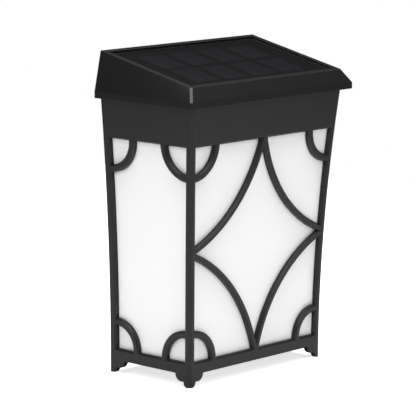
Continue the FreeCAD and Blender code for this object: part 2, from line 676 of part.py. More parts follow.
# ---- tray and lamp board ---------------------------------------------------------------------
def light_tray():
    """Plate across the housing that carries the lamp board below and the works above."""
    plate = block(-TRAY_HALF_WIDTH, TRAY_HALF_WIDTH, TRAY_Y[0], TRAY_Y[1], TRAY_Z, TRAY_TOP)
    half, thickness, height = TRAY_GRIP
    raised = [block(-half, half, TRAY_Y[1] - thickness, TRAY_Y[1], TRAY_TOP, TRAY_TOP + height)]
    bores = [block(*TRAY_SLOT, TRAY_Z - ABOVE, TRAY_TOP + ABOVE)]
    radius, height = BOARD_POST
    for x, y in BOARD_POSTS:
        raised.append(peg(radius, V(x, y, TRAY_TOP), V(x, y, TRAY_TOP + height)))
        bores.append(peg(POST_PILOT, V(x, y, TRAY_Z + POST_FLOOR), V(x, y, TRAY_TOP + height + ABOVE)))
    radius, height = LED_POST
    for x, y in LED_SCREWS:
        raised.append(peg(radius, V(x, y, TRAY_TOP), V(x, y, TRAY_TOP + height)))
        bores.append(peg(POST_PILOT, V(x, y, TRAY_Z - ABOVE), V(x, y, TRAY_TOP + height - POST_FLOOR)))
    return plate.fuse(raised).cut(bores)


def led_board():
    half, front, back, _ = LED_BOARD
    board = block(-half, half, front, back, LED_BOARD_LOW, TRAY_Z)
    return board.cut([peg(BOARD_HOLE, V(x, y, LED_BOARD_LOW - ABOVE), V(x, y, TRAY_Z + ABOVE))
                      for x, y in LED_SCREWS])


def led_chips():
    """Lamp chips in two rows, each a small square package with a raised lens pad."""
    half_x, half_y, height = LED_CHIP
    lens_x, lens_y, lens_height = LED_LENS
    low = LED_BOARD_LOW - height
    chips = []
    for x, y in LED_PLACES:
        body = block(x - half_x, x + half_x, y - half_y, y + half_y, low, LED_BOARD_LOW)
        lens = block(x - lens_x, x + lens_x, y - lens_y, y + lens_y, low - lens_height, low)
        chips.append(body.fuse(lens))
    return chips


# ---- battery ---------------------------------------------------------------------------------
def battery_holder():
    """Cradle with two end walls and two low cheeks that grip the cell."""
    inner, half_y = HOLDER_HALF - HOLDER_WALL, CELL_RADIUS + HOLDER_SIDE
    wide = 2 * half_y
    outer = block(-HOLDER_HALF, HOLDER_HALF, BATTERY_Y - half_y, BATTERY_Y + half_y,
                  TRAY_TOP, HOLDER_TOP)
    bed = rod(CELL_RADIUS, V(-inner, BATTERY_Y, BATTERY_Z), V(inner, BATTERY_Y, BATTERY_Z))
    room = block(-inner, inner, BATTERY_Y - CELL_RADIUS, BATTERY_Y + CELL_RADIUS,
                 BATTERY_Z, HOLDER_TOP + ABOVE)
    cheeks = block(-inner, inner, BATTERY_Y - wide, BATTERY_Y + wide,
                   BATTERY_Z + CHEEK_RISE, HOLDER_TOP + ABOVE)
    top, bottom, depth = THUMB_NOTCH
    cheek_top = BATTERY_Z + CHEEK_RISE
    thumb = polygon_face([V(-top, 0, cheek_top), V(-bottom, 0, cheek_top - depth),
                          V(bottom, 0, cheek_top - depth), V(top, 0, cheek_top)])
    thumb.translate(V(0, BATTERY_Y - wide, 0))
    thumb = thumb.extrude(V(0, 2 * wide, 0))
    spring_room = block(-inner, CELL_START - CONTACT_STRIP, BATTERY_Y - CONTACT_DROP,
                        BATTERY_Y + CONTACT_DROP, BATTERY_Z - CELL_RADIUS, HOLDER_TOP + ABOVE)
    return outer.cut([bed, room, cheeks, thumb, spring_room])


def battery_cell():
    """Steel can with its rolled shoulders and the positive nub."""
    end = CELL_START + CELL_LENGTH
    radius, proud = CELL_NUB
    can = peg(CELL_RADIUS, V(CELL_START, BATTERY_Y, BATTERY_Z), V(end, BATTERY_Y, BATTERY_Z), ROUND_SIDES)
    rims = [edge for edge in can.Edges if edge.BoundBox.XLength < TOUCH]
    can = can.makeChamfer(CELL_SHOULDER, rims)
    nub = peg(radius, V(end - proud, BATTERY_Y, BATTERY_Z), V(end + proud, BATTERY_Y, BATTERY_Z), ROUND_SIDES)
    return can.fuse(nub)


def positive_contact():
    """Strip folded over the holder's end wall, with the solder tab outside."""
    inner = HOLDER_HALF - HOLDER_WALL
    front, back = BATTERY_Y - CONTACT_HALF, BATTERY_Y + CONTACT_HALF
    top = HOLDER_TOP + CONTACT_STRIP
    inside = block(inner - CONTACT_STRIP, inner, front, back, BATTERY_Z - CONTACT_DROP, top)
    over = block(inner - CONTACT_STRIP, HOLDER_HALF + CONTACT_STRIP, front, back, HOLDER_TOP, top)
    tab = block(HOLDER_HALF, HOLDER_HALF + CONTACT_STRIP, front, back, BATTERY_Z - CONTACT_TAB, top)
    return inside.fuse([over, tab])


def negative_contact():
    """The same strip at the other end, bent out into a leaf spring against the can."""
    base = positive_contact().mirror(V(0, 0, 0), V(1, 0, 0))
    root = -HOLDER_HALF + HOLDER_WALL + CONTACT_STRIP
    tip = CELL_START - CONTACT_STRIP
    inner_drop = CONTACT_DROP - 1.5 * CONTACT_STRIP
    leaf = polygon_face([
        V(root, 0, BATTERY_Z - CONTACT_DROP), V(tip, 0, BATTERY_Z), V(root, 0, BATTERY_Z + CONTACT_DROP),
        V(root, 0, BATTERY_Z + inner_drop), V(tip - CONTACT_STRIP, 0, BATTERY_Z),
        V(root, 0, BATTERY_Z - inner_drop)])
    leaf.translate(V(0, BATTERY_Y - SPRING_HALF, 0))
    pad = block(tip - CONTACT_STRIP, CELL_START, BATTERY_Y - SPRING_HALF, BATTERY_Y + SPRING_HALF,
                BATTERY_Z - SPRING_PAD, BATTERY_Z + SPRING_PAD)
    return base.fuse([leaf.extrude(V(0, 2 * SPRING_HALF, 0)), pad])


# ---- control board ---------------------------------------------------------------------------
def control_board():
    low_x, high_x, front, back, _ = CONTROL_BOARD
    board = block(low_x, high_x, front, back, BOARD_LOW, BOARD_TOP)
    return board.cut([peg(BOARD_HOLE, V(x, y, BOARD_LOW - ABOVE), V(x, y, BOARD_TOP + ABOVE))
                      for x, y in BOARD_POSTS])


def driver_chip():
    """Eight-leg chip: a flat body with its legs fanned out to both sides."""
    low_x, high_x, front, back, height = CHIP
    body = block(low_x, high_x, front, back, BOARD_TOP + CHIP_STAND, BOARD_TOP + CHIP_STAND + height)
    width, reach, thickness = CHIP_LEG
    first = (low_x + high_x - (CHIP_LEGS - 1) * CHIP_PITCH) / 2
    legs = []
    for index in range(CHIP_LEGS):
        x = first + index * CHIP_PITCH
        legs.append(block(x - width / 2, x + width / 2, front - reach, back + reach,
                          BOARD_TOP, BOARD_TOP + thickness))
    return body.fuse(legs)


def choke_coil():
    """Drum choke: a waist between two flanges."""
    x, y = CHOKE_PLACE
    discs = [peg(radius, V(x, y, BOARD_TOP + low), V(x, y, BOARD_TOP + high))
             for radius, low, high in CHOKE_DISCS]
    return discs[0].fuse(discs[1:])


def capacitor():
    """Round can capacitor on its square foot."""
    x, y = CAPACITOR_PLACE
    half, thickness = CAPACITOR_FOOT
    radius, height = CAPACITOR_CAN
    seat = BOARD_TOP + thickness
    foot = block(x - half, x + half, y - half, y + half, BOARD_TOP, seat)
    return foot.fuse(peg(radius, V(x, y, seat), V(x, y, seat + height), ROUND_SIDES))


def lead_connectors():
    """Three two-way connectors, each with the latch notch of its plug."""
    half_x, half_y, _ = CONNECTOR
    notch_half, notch_depth, notch_rise = CONNECTOR_NOTCH
    pairs = []
    for x, y in CONNECTORS:
        body = block(x - half_x, x + half_x, y - half_y, y + half_y, BOARD_TOP, CONNECTOR_TOP)
        notch = block(x - notch_half, x + notch_half, y + half_y - notch_depth, y + half_y + ABOVE,
                      BOARD_TOP + notch_rise, CONNECTOR_TOP + ABOVE)
        pairs.append(body.cut(notch))
    return pairs


# ---- switch and button -----------------------------------------------------------------------
def switch_body():
    """Square push switch with the well that its stem sinks into."""
    body = block(BUTTON_X - SWITCH_HALF, BUTTON_X + SWITCH_HALF, SWITCH_BACK, SWITCH_FRONT,
                 BUTTON_Z - SWITCH_HALF, BUTTON_Z + SWITCH_HALF)
    half, depth = SWITCH_WELL
    return body.cut(block(BUTTON_X - half, BUTTON_X + half, SWITCH_FRONT - depth,
                          SWITCH_FRONT + ABOVE, BUTTON_Z - half, BUTTON_Z + half))


def switch_stem():
    half, sunk = STEM
    return block(BUTTON_X - half, BUTTON_X + half, SWITCH_FRONT - sunk, FLANGE_INNER,
                 BUTTON_Z - half, BUTTON_Z + half)


def mode_button():
    """Round cap with a bevelled rim and the flange that keeps it behind the plate."""
    cap = rod(BUTTON_RADIUS, V(BUTTON_X, FLANGE_OUTER, BUTTON_Z), V(BUTTON_X, BUTTON_FACE, BUTTON_Z))
    rim = [edge for edge in cap.Edges if edge.BoundBox.YMin > BUTTON_FACE - TOUCH]
    cap = cap.makeChamfer(BUTTON_BEVEL, rim)
    return cap.fuse(rod(FLANGE_RADIUS, V(BUTTON_X, FLANGE_INNER, BUTTON_Z),
                        V(BUTTON_X, FLANGE_OUTER, BUTTON_Z)))


def switch_pins():
    half_x, half_z, length = PIN
    return [block(x - half_x, x + half_x, SWITCH_BACK - length, SWITCH_BACK,
                  BUTTON_Z - half_z, BUTTON_Z + half_z)
            for x in (BUTTON_X - PIN_PITCH / 2, BUTTON_X + PIN_PITCH / 2)]


# ---- fasteners -------------------------------------------------------------------------------
def screw(seat, way, size):
    """Plain screw: its head rests on seat and its point goes the given way."""
    shank_radius, length, head_radius, head_height = size
    head = peg(head_radius, V(0, 0, 0), V(0, 0, head_height))
    made = head.fuse(peg(shank_radius, V(0, 0, 0), V(0, 0, -length)))
    made.Placement = FreeCAD.Placement(seat, FreeCAD.Rotation(V(0, 0, -1), way))
    return made


def roof_screws():
    return [screw(V(x, y, LUG_LOW), V(0, 0, 1), ROOF_SCREW) for x, y in ROOF_TABS]


def back_screws():
    seat = BACK_OUTER - BACK_SCREW_SINK[1]
    return [screw(V(sign * BACK_SCREW[0], seat, BACK_SCREW[1]), V(0, -1, 0), BACK_PLATE_SCREW)
            for sign in (-1, 1)]


def board_screws():
    return [screw(V(x, y, BOARD_TOP), V(0, 0, -1), BOARD_SCREW) for x, y in BOARD_POSTS]


def led_screws():
    return [screw(V(x, y, LED_BOARD_LOW), V(0, 0, 1), LED_SCREW) for x, y in LED_SCREWS]


# ---- leads -----------------------------------------------------------------------------------
def lead(points):
    """Eight-sided wire along straight runs, each turn taken in two mitred steps."""
    first = (points[1] - points[0]).normalize()
    spoke = first.cross(V(0, 1, 0) if abs(first.z) > 0.5 else V(0, 0, 1)) * LEAD_RADIUS
    step = 360.0 / LEAD_SIDES
    turns = [FreeCAD.Rotation(first, step * (index + 0.5)) for index in range(LEAD_SIDES + 1)]
    section = Part.makePolygon([points[0] + turn.multVec(spoke) for turn in turns])
    path = [points[0]]
    for before, corner, after in zip(points, points[1:], points[2:]):
        path.append(corner - (corner - before).normalize() * LEAD_TURN)
        path.append(corner + (after - corner).normalize() * LEAD_TURN)
    path.append(points[-1])
    return Part.makePolygon(path).makePipeShell([section], True, False, 1)


def panel_lead(x):
    """From the first connector up through the roof's window to the panel's underside."""
    y = CONNECTORS[0][1]
    bend, level = PANEL_LEAD_RISE
    route = [V(x, y, CONNECTOR_TOP), V(x, y, CONNECTOR_TOP + bend),
             V(x, PANEL_LEAD_Y, CONNECTOR_TOP + level), V(x, PANEL_LEAD_Y, LANTERN_HEIGHT)]
    return lead(route).cut(panel_slab(PANEL_GAP, PANEL_LOW_N, 30 * ABOVE))


def battery_lead(x, sign, height):
    """From the second connector round the end of the battery to its solder tab."""
    y = CONNECTORS[1][1]
    far = sign * BATTERY_LEAD_X
    tab = sign * (HOLDER_HALF + CONTACT_STRIP)
    low = BATTERY_Z + CHEEK_RISE
    return lead([V(x, y, CONNECTOR_TOP), V(x, y, height), V(far, y, height), V(far, BATTERY_Y, height),
                 V(far, BATTERY_Y, low), V(tab, BATTERY_Y, low)])


def lamp_lead(y):
    """From the third connector down through the tray to the end of the lamp board."""
    x = CONNECTORS[2][0]
    high = CONNECTOR_TOP + LAMP_LEAD_RISE
    low = (LED_BOARD_LOW + TRAY_Z) / 2
    return lead([V(x, y, CONNECTOR_TOP), V(x, y, high), V(LAMP_LEAD_X, y, high),
                 V(LAMP_LEAD_X, y, low), V(LED_BOARD[0], y, low)])


def switch_leads():
    """From the switch's pins to the edge of the control board."""
    z = (BOARD_LOW + BOARD_TOP) / 2
    leads = []
    for sign, y in zip((-1, 1), SWITCH_LEAD_Y):
        x = BUTTON_X + sign * PIN_PITCH / 2
        leads.append(lead([V(x, SWITCH_BACK - PIN[2], BUTTON_Z), V(x, SWITCH_LEAD_START, BUTTON_Z),
                           V(x, y, z), V(CONTROL_BOARD[1], y, z)]))
    return leads


def red_leads():
    wire = WIRE_PITCH / 2
    return [panel_lead(CONNECTORS[0][0] - wire), battery_lead(CONNECTORS[1][0] + wire, 1, 147.5),
            lamp_lead(CONNECTORS[2][1] + wire)]


def black_leads():
    wire = WIRE_PITCH / 2
    return [panel_lead(CONNECTORS[0][0] + wire), battery_lead(CONNECTORS[1][0] - wire, -1, 149.5),
            lamp_lead(CONNECTORS[2][1] - wire)]


# ---- the whole lantern -----------------------------------------------------------------------
def build():
    cells = solar_cells()
    board = panel_slab(PANEL_GAP, PANEL_LOW_N, PANEL_MID_N)
    face = panel_slab(PANEL_GAP, PANEL_MID_N, PANEL_TOP_N).cut(cells)
    return {
        "lantern_frame": lantern_frame(),
        "diffuser": diffuser(),
        "back_plate": back_plate(),
        "back_reflector": back_reflector(),
        "roof_shell": roof_shell(),
        "panel_board": board,
        "solar_cells": group(cells),
        "panel_face": face,
        "panel_seal": panel_seal(),
        "light_tray": light_tray(),
        "led_board": led_board(),
        "led_chips": group(led_chips()),
        "battery_holder": battery_holder(),
        "battery_cell": battery_cell(),
        "positive_contact": positive_contact(),
        "negative_contact": negative_contact(),
        "control_board": control_board(),
        "driver_chip": driver_chip(),
        "choke_coil": choke_coil(),
        "capacitor": capacitor(),
        "lead_connectors": group(lead_connectors()),
        "switch_body": switch_body(),
        "switch_stem": switch_stem(),
        "switch_pins": group(switch_pins()),
        "mode_button": mode_button(),
        "roof_screws": group(roof_screws()),
        "back_screws": group(back_screws()),
        "board_screws": group(board_screws()),
        "led_screws": group(led_screws()),
        "red_leads": group(red_leads()),
        "black_leads": group(black_leads()),
        "switch_leads": group(switch_leads()),
    }


os.makedirs(OUT_DIR, exist_ok=True)
for node, shape in build().items():
    save(node, shape)
    print(f"{node:18} {len(shape.Solids):3d} solid(s) {shape.Volume:10.1f} mm3  valid {shape.isValid()}")
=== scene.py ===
import logging
import math
from dataclasses import dataclass
from enum import Enum
from functools import partial

import bpy
import numpy as np
from mathutils import Matrix, Vector


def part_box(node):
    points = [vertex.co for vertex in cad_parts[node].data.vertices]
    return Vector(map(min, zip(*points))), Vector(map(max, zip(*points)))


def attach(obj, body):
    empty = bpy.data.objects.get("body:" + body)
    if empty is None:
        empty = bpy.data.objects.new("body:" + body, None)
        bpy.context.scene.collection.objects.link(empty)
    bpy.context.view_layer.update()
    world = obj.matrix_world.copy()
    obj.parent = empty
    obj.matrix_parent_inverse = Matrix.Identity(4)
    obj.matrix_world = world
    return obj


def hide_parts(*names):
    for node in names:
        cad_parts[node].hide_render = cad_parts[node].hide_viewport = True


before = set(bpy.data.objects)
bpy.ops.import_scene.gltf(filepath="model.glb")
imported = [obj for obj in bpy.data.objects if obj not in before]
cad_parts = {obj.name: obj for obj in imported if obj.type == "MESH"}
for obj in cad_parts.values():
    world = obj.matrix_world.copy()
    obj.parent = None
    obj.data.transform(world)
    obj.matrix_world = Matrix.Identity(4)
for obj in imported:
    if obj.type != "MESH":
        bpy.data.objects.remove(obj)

# Solar fence lantern: the looks of each piece, over the fixed frame of solids.
# The frame is in metres, +Z up, the front at -Y, the feet on z = 0. The lantern's sizes and places
# are millimetres, measured from the fence: y = 0 is the fence plane, which is the back of the
# frame's box. The studio's places are metres of the frame.

Pair = tuple[float, float]
Triple = tuple[float, float, float]
Socket = bpy.types.NodeSocket
Tree = bpy.types.NodeTree
LOG = logging.getLogger("fence_lantern")
MM = 0.001
FENCE_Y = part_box("roof_shell")[1].y  # the roof reaches back to the fence
SHARP_ANGLE = math.radians(38.0)  # facets that meet at more than this keep a hard edge
UP, DOWN, BACK, RIGHT = (0.0, 0.0, 1.0), (0.0, 0.0, -1.0), (0.0, 1.0, 0.0), (1.0, 0.0, 0.0)
WHITE = (1.0, 1.0, 1.0, 1.0)
FLOAT, COLOUR = "NodeSocketFloat", "NodeSocketColor"


class Body(Enum):
    """The rigid bodies of the frame that a piece can ride on."""

    LANTERN = "lantern"
    BUTTON = "button"


class Grain(Enum):
    """Fine relief of a surface: noise scale per metre, and height in millimetres."""

    SATIN = (2600.0, 0.018)
    MATTE = (1900.0, 0.045)
    GLOSS = (900.0, 0.004)


# ---- surfaces worked out on grids ------------

@dataclass(frozen=True)
class Place:
    """Where a surface drawn about its own origin goes: its origin and its up direction."""

    origin: Triple
    up: Triple = UP

    def put(self, points: np.ndarray) -> np.ndarray:
        """Carries points to the frame.

        Own x and y are turned onto two directions square to up, own z onto up, and the result
        is moved to the origin.

        Args:
            points: array of (..., 3) millimetres.

        Returns:
            The same points in metres of the frame.
        """
        up = np.array(self.up) / np.linalg.norm(self.up)
        side = np.array(RIGHT if abs(up[0]) < 0.9 else BACK)
        across = side - up * side.dot(up)
        across /= np.linalg.norm(across)
        basis = np.stack([across, np.cross(up, across), up])
        return (points @ basis + np.array(self.origin)) * MM + np.array((0.0, FENCE_Y, 0.0))


def placed(name: str, data: bpy.types.ID) -> bpy.types.Object:
    """Makes an object for the data and puts it in the scene."""
    made = bpy.data.objects.new(name, data)
    bpy.context.scene.collection.objects.link(made)
    return made


class Surface:
    """Gathers closed grids of points into one mesh."""

    def __init__(self) -> None:
        """Starts with no points and no faces."""
        self.points: list[np.ndarray] = []
        self.local: list[np.ndarray] = []
        self.faces: list[list[int]] = []
        self.count = 0

    def grid(self, points: np.ndarray, place: Place, ring: bool = False) -> "Surface":
        """Adds one closed skin.

        Rows run up the piece and columns run anticlockwise round it, so that neighbours make
        outward quads. The first and last rows are closed by flat caps, or joined to each other.

        Args:
            points: array of (rows, columns, 3) millimetres about the piece's own origin.
            place: where the piece goes.
            ring: joins the last row to the first, for a closed loop of section.

        Returns:
            This surface.
        """
        rows, columns = points.shape[:2]
        index = np.arange(rows * columns).reshape(rows, columns) + self.count
        low, high = (index, np.roll(index, -1, axis=0)) if ring else (index[:-1], index[1:])
        quads = np.stack([low, np.roll(low, -1, axis=1), np.roll(high, -1, axis=1), high], axis=-1)
        self.faces.extend(quads.reshape(-1, 4).tolist())
        if not ring:
            self.faces.append(index[0][::-1].tolist())
            self.faces.append(index[-1].tolist())
        self.points.append(place.put(points).reshape(-1, 3))
        self.local.append(points.reshape(-1, 3))
        self.count += rows * columns
        return self

    def piece(self, name: str, finish: "Finish", slot: str, body: Body = Body.LANTERN,
              replaces: str = "") -> bpy.types.Object:
        """Makes the object, dresses it and puts it on its body.

        Each point keeps its own place, in millimetres, in the attribute "own_place".

        Args:
            name: name of the piece.
            finish: its finish.
            slot: the record's material slot; not used.
            body: the body that it rides on.
            replaces: CAD node that it stands for, if any.

        Returns:
            The new object.
        """
        mesh = bpy.data.meshes.new(name)
        mesh.from_pydata(np.concatenate(self.points).tolist(), [], self.faces)
        own = mesh.attributes.new("own_place", "FLOAT_VECTOR", "POINT")
        own.data.foreach_set("vector", np.concatenate(self.local).astype(np.float32).ravel())
        mesh.shade_smooth()
        mesh.set_sharp_from_angle(angle=SHARP_ANGLE)
        mesh.materials.append(finish.material())
        made = placed(name, mesh)
        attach(made, body.value)
        if replaces:
            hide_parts(replaces)
        LOG.info("%s: %d faces, %s", name, len(self.faces), finish.name)
        return made


def rings(radius: np.ndarray | float, height: np.ndarray | float, angle: np.ndarray) -> np.ndarray:
    """Points (r cos a, r sin a, h), from arrays of one shape or of shapes that spread to one."""
    return np.stack(np.broadcast_arrays(radius * np.cos(angle), radius * np.sin(angle), height), axis=-1)


def turned(profile: list[Pair], columns: int = 48) -> np.ndarray:
    """Surface of revolution: a ring for each radius and height of the profile.

    Args:
        profile: radius and height pairs, from the bottom up the outside to the top.
        columns: points round the axis.

    Returns:
        Array of (rows, columns, 3).
    """
    radius, height = np.array(profile, float).T[:, :, None]
    return rings(radius, height, np.linspace(0.0, 2 * math.pi, columns, endpoint=False))


def stacked(half_x: float, half_y: float, corner: float, profile: list[Pair],
            steps: int = 6) -> np.ndarray:
    """Rounded rectangles stacked on one another, each drawn in by its inset.

    A corner's points are its centre plus r (cos a, sin a), with r the corner radius less the inset
    and the centre moved so that the sides stand at the half sizes less the inset.

    Args:
        half_x: half the width.
        half_y: half the length.
        corner: corner radius at no inset.
        profile: inset and height pairs, from the bottom up the outside to the top.
        steps: points in each corner.

    Returns:
        Array of (rows, 4 x steps, 3).
    """
    inset, height = np.array(profile, float).T
    smallest = 0.05
    radius = np.maximum(corner - inset, smallest)[:, None]
    angle = (np.arange(4)[:, None] * 90.0 + np.linspace(0.0, 90.0, steps)).ravel() * math.pi / 180
    sign_x = np.repeat((1.0, -1.0, -1.0, 1.0), steps)
    sign_y = np.repeat((1.0, 1.0, -1.0, -1.0), steps)
    x = sign_x * (half_x - inset[:, None] - radius) + radius * np.cos(angle)
    y = sign_y * (half_y - inset[:, None] - radius) + radius * np.sin(angle)
    return np.stack([x, y, np.broadcast_to(height[:, None], x.shape)], axis=-1)


def soft_edges(low: float, high: float, radius: float, steps: int = 4) -> list[Pair]:
    """Profile of a slab whose edges are quarter rounds.

    The inset is radius (1 - cos a) and the height leaves the face by radius (1 - sin a).

    Args:
        low: bottom of the slab.
        high: top of the slab.
        radius: radius of the rounds.
        steps: points in each round.

    Returns:
        Inset and height pairs, from the bottom to the top.
    """
    angle = np.linspace(math.pi / 2, 0.0, steps)
    inset, rise = radius * (1 - np.cos(angle)), radius * (1 - np.sin(angle))
    return [*zip(inset, low + rise), *zip(inset[::-1], high - rise[::-1])]


def unit(vectors: np.ndarray) -> np.ndarray:
    """Rows of vectors, each brought to length 1."""
    return vectors / np.linalg.norm(vectors, axis=1, keepdims=True)


def bent_path(route: list[Triple], bend: float, steps: int = 7) -> np.ndarray:
    """Straight runs whose corners are parabolas.

    With A and B the points at the bend's length before and after corner C, the turn is
    (1 - t)^2 A + 2 t (1 - t) C + t^2 B for t from 0 to 1.

    Args:
        route: corner points of the path.
        bend: how far from its corner a turn starts and ends.
        steps: points in each turn.

    Returns:
        Array of (points, 3).
    """
    points = np.array(route, float)
    before, corner, after = points[:-2], points[1:-1], points[2:]
    start, end = (corner + unit(other - corner) * bend for other in (before, after))
    t = np.linspace(0.0, 1.0, steps)[None, :, None]
    turns = (1 - t) ** 2 * start[:, None] + 2 * t * (1 - t) * corner[:, None] + t ** 2 * end[:, None]
    return np.concatenate([points[:1], turns.reshape(-1, 3), points[-1:]])


def tube(path: np.ndarray, radius: float, columns: int = 14) -> np.ndarray:
    """Round section carried along a path: point + r (cos a side + sin a other).

    The two directions lie square to the path. They come from one fixed slanting direction, which no
    run of the paths here follows.

    Args:
        path: array of (points, 3).
        radius: radius of the tube.
        columns: points round it.

    Returns:
        Array of (points, columns, 3).
    """
    slanting = np.array((0.48, 0.62, 0.62))
    along = unit(np.gradient(path, axis=0))
    side = unit(np.cross(slanting, along))
    other = np.cross(along, side)
    angle = np.linspace(0.0, 2 * math.pi, columns, endpoint=False)[None, :, None]
    return path[:, None] + radius * (np.cos(angle) * side[:, None] + np.sin(angle) * other[:, None])


@dataclass(frozen=True)
class Screw:
    """Pan head screw with a cross recess and a cut thread, standing on its head's seat."""

    shank: float  # radius of the shank
    length: float
    head: float  # radius of the head
    rise: float  # height of the head
    pitch: float = 0.9
    thread: float = 0.13  # depth of the thread, as a share of the shank's radius
    tip: float = 1.4  # length that the shank tapers over
    point: float = 0.12  # radius of the point, as a share of the shank's
    plain: float = 0.2  # length without thread, under the head
    step: float = 0.13  # height of a row of the thread
    crown: float = 0.4375  # fall of the dome to the head's edge, as a share of its height
    slot: float = 0.36  # half width of a recess arm, at its mouth
    reach: float = 0.62  # length of a recess arm, as a share of the head's radius
    depth: float = 0.55  # depth of the recess, as a share of the head's height
    columns: int = 64

    def recess(self, x: np.ndarray, y: np.ndarray) -> np.ndarray:
        """Share of the recess's depth at a place on the head.

        The recess is the larger of two arms. An arm is 1 along its middle, falls evenly to 0 at its
        edge, and is closed at its end in the same way.

        Args:
            x: distance from the head's middle, along one arm's width.
            y: distance from the head's middle, along that arm's length.

        Returns:
            Values from 0 to 1.
        """
        wall, end = 1.6, 4.0  # steepness of an arm's side walls and of its end
        arms = [np.clip(wall * (1 - wide / self.slot), 0, 1)
                * np.clip(end * (1 - far / (self.reach * self.head)), 0, 1)
                for wide, far in ((x, y), (y, x))]
        return np.maximum(*arms)

    def points(self) -> np.ndarray:
        """The screw's skin.

        Shank: radius times 1 - thread (1 - |2 f - 1|), with f the fraction of height over pitch
        less angle over a full turn, so that the ridge climbs as a helix, tapered to the tip.
        Head: a rounded rim, then a low dome, rise (1 - crown (r / head)^2), less the recess.

        Returns:
            Array of (rows, columns, 3).
        """
        angle = np.linspace(0.0, 2 * math.pi, self.columns, endpoint=False)[None, :]
        height = np.arange(-self.length, -self.plain, self.step)[:, None]
        turn = np.mod(height / self.pitch - angle / (2 * math.pi), 1.0)
        taper = np.clip((height + self.length) / self.tip, self.point, 1.0)
        shank = self.shank * taper * (1 - self.thread * (1 - np.abs(2 * turn - 1)))
        rim_r = self.head * np.array((0.97, 1.0, 1.0, 0.97, 0.92))[:, None]
        rim_h = self.rise * np.array((0.0, 0.06, 0.42, 0.56, 0.65))[:, None]
        dome_r = self.head * np.linspace(0.88, 0.02, 22)[:, None]
        dome_h = self.rise * (1 - self.crown * (dome_r / self.head) ** 2)
        cut = self.recess(np.abs(dome_r * np.cos(angle)), np.abs(dome_r * np.sin(angle)))
        return np.concatenate([
            rings(shank, height, angle), rings(self.shank, 0.0, angle), rings(rim_r, rim_h, angle),
            rings(dome_r, dome_h - self.depth * self.rise * cut, angle)])

    def set_in(self, places: list[Place], name: str, node: str) -> bpy.types.Object:
        """Makes one piece of all the screws of this kind.

        Args:
            places: seat and head direction of each screw.
            name: name of the piece.
            node: CAD node that the screws stand for.

        Returns:
            The piece.
        """
        surface = Surface()
        for place in places:
            surface.grid(self.points(), place)
        return surface.piece(name, ZINC, "screw_steel", replaces=node)


# ---- shader nodes ------------

class Sockets:
    """Builds a node tree: places nodes and joins their sockets."""

    def __init__(self, tree: Tree) -> None:
        """Clears the tree and starts on it.

        Args:
            tree: the tree to build in.
        """
        self.tree = tree
        tree.nodes.clear()

    def add(self, kind: str, values: dict[str, object] | None = None, **settings: object) -> bpy.types.Node:
        """Adds one node.

        Args:
            kind: the node's type name.
            values: what its inputs get, by name: plain values, or sockets to link.
            settings: properties of the node, set by name.

        Returns:
            The new node.
        """
        node = self.tree.nodes.new(kind)
        for name, value in settings.items():
            setattr(node, name, value)
        for name, value in (values or {}).items():
            self.join(value, node.inputs[name])
        return node

    def join(self, source: object, target: Socket) -> None:
        """Links a socket to an input, or gives the input a plain value."""
        if isinstance(source, Socket):
            self.tree.links.new(source, target)
        else:
            target.default_value = source

    def noise(self, where: Socket, scale: "Socket | float", detail: float) -> Socket:
        """Adds a noise texture at the given coordinates and returns its value's socket."""
        node = self.add("ShaderNodeTexNoise", {"Vector": where, "Scale": scale, "Detail": detail})
        return node.outputs["Fac"]

    def spread(self, value: Socket, low: float, high: float) -> Socket:
        """Maps a value from 0..1 to low..high and returns the result's socket."""
        node = self.add("ShaderNodeMapRange", {"Value": value, "To Min": low, "To Max": high})
        return node.outputs["Result"]

    def math(self, operation: str, *terms: "Socket | float") -> Socket:
        """Adds a math node.

        Args:
            operation: Blender's name of the operation.
            terms: its inputs in order, each a socket or a number.

        Returns:
            The result's socket.
        """
        node = self.add("ShaderNodeMath", operation=operation)
        for term, socket in zip(terms, node.inputs):
            self.join(term, socket)
        return node.outputs["Value"]

    def blend(self, share: Socket, first: Socket, second: Socket) -> Socket:
        """Mixes two colours by a share from 0 to 1 and returns the result's socket."""
        node = self.add("ShaderNodeMix", {"Factor": share, "A": first, "B": second}, data_type="RGBA")
        return node.outputs["Result"]


def new_group(name: str, inputs: dict[str, tuple[str, object]],
              outputs: dict[str, str]) -> tuple[Tree, Sockets]:
    """Makes an empty shader node group.

    Args:
        name: the group's name.
        inputs: socket name to (socket type, default value).
        outputs: socket name to socket type.

    Returns:
        The group and the builder for its nodes.
    """
    group = bpy.data.node_groups.new(name, "ShaderNodeTree")
    for socket, (kind, default) in inputs.items():
        made = group.interface.new_socket(socket, in_out="INPUT", socket_type=kind)
        made.default_value = default
    for socket, kind in outputs.items():
        group.interface.new_socket(socket, in_out="OUTPUT", socket_type=kind)
    return group, Sockets(group)


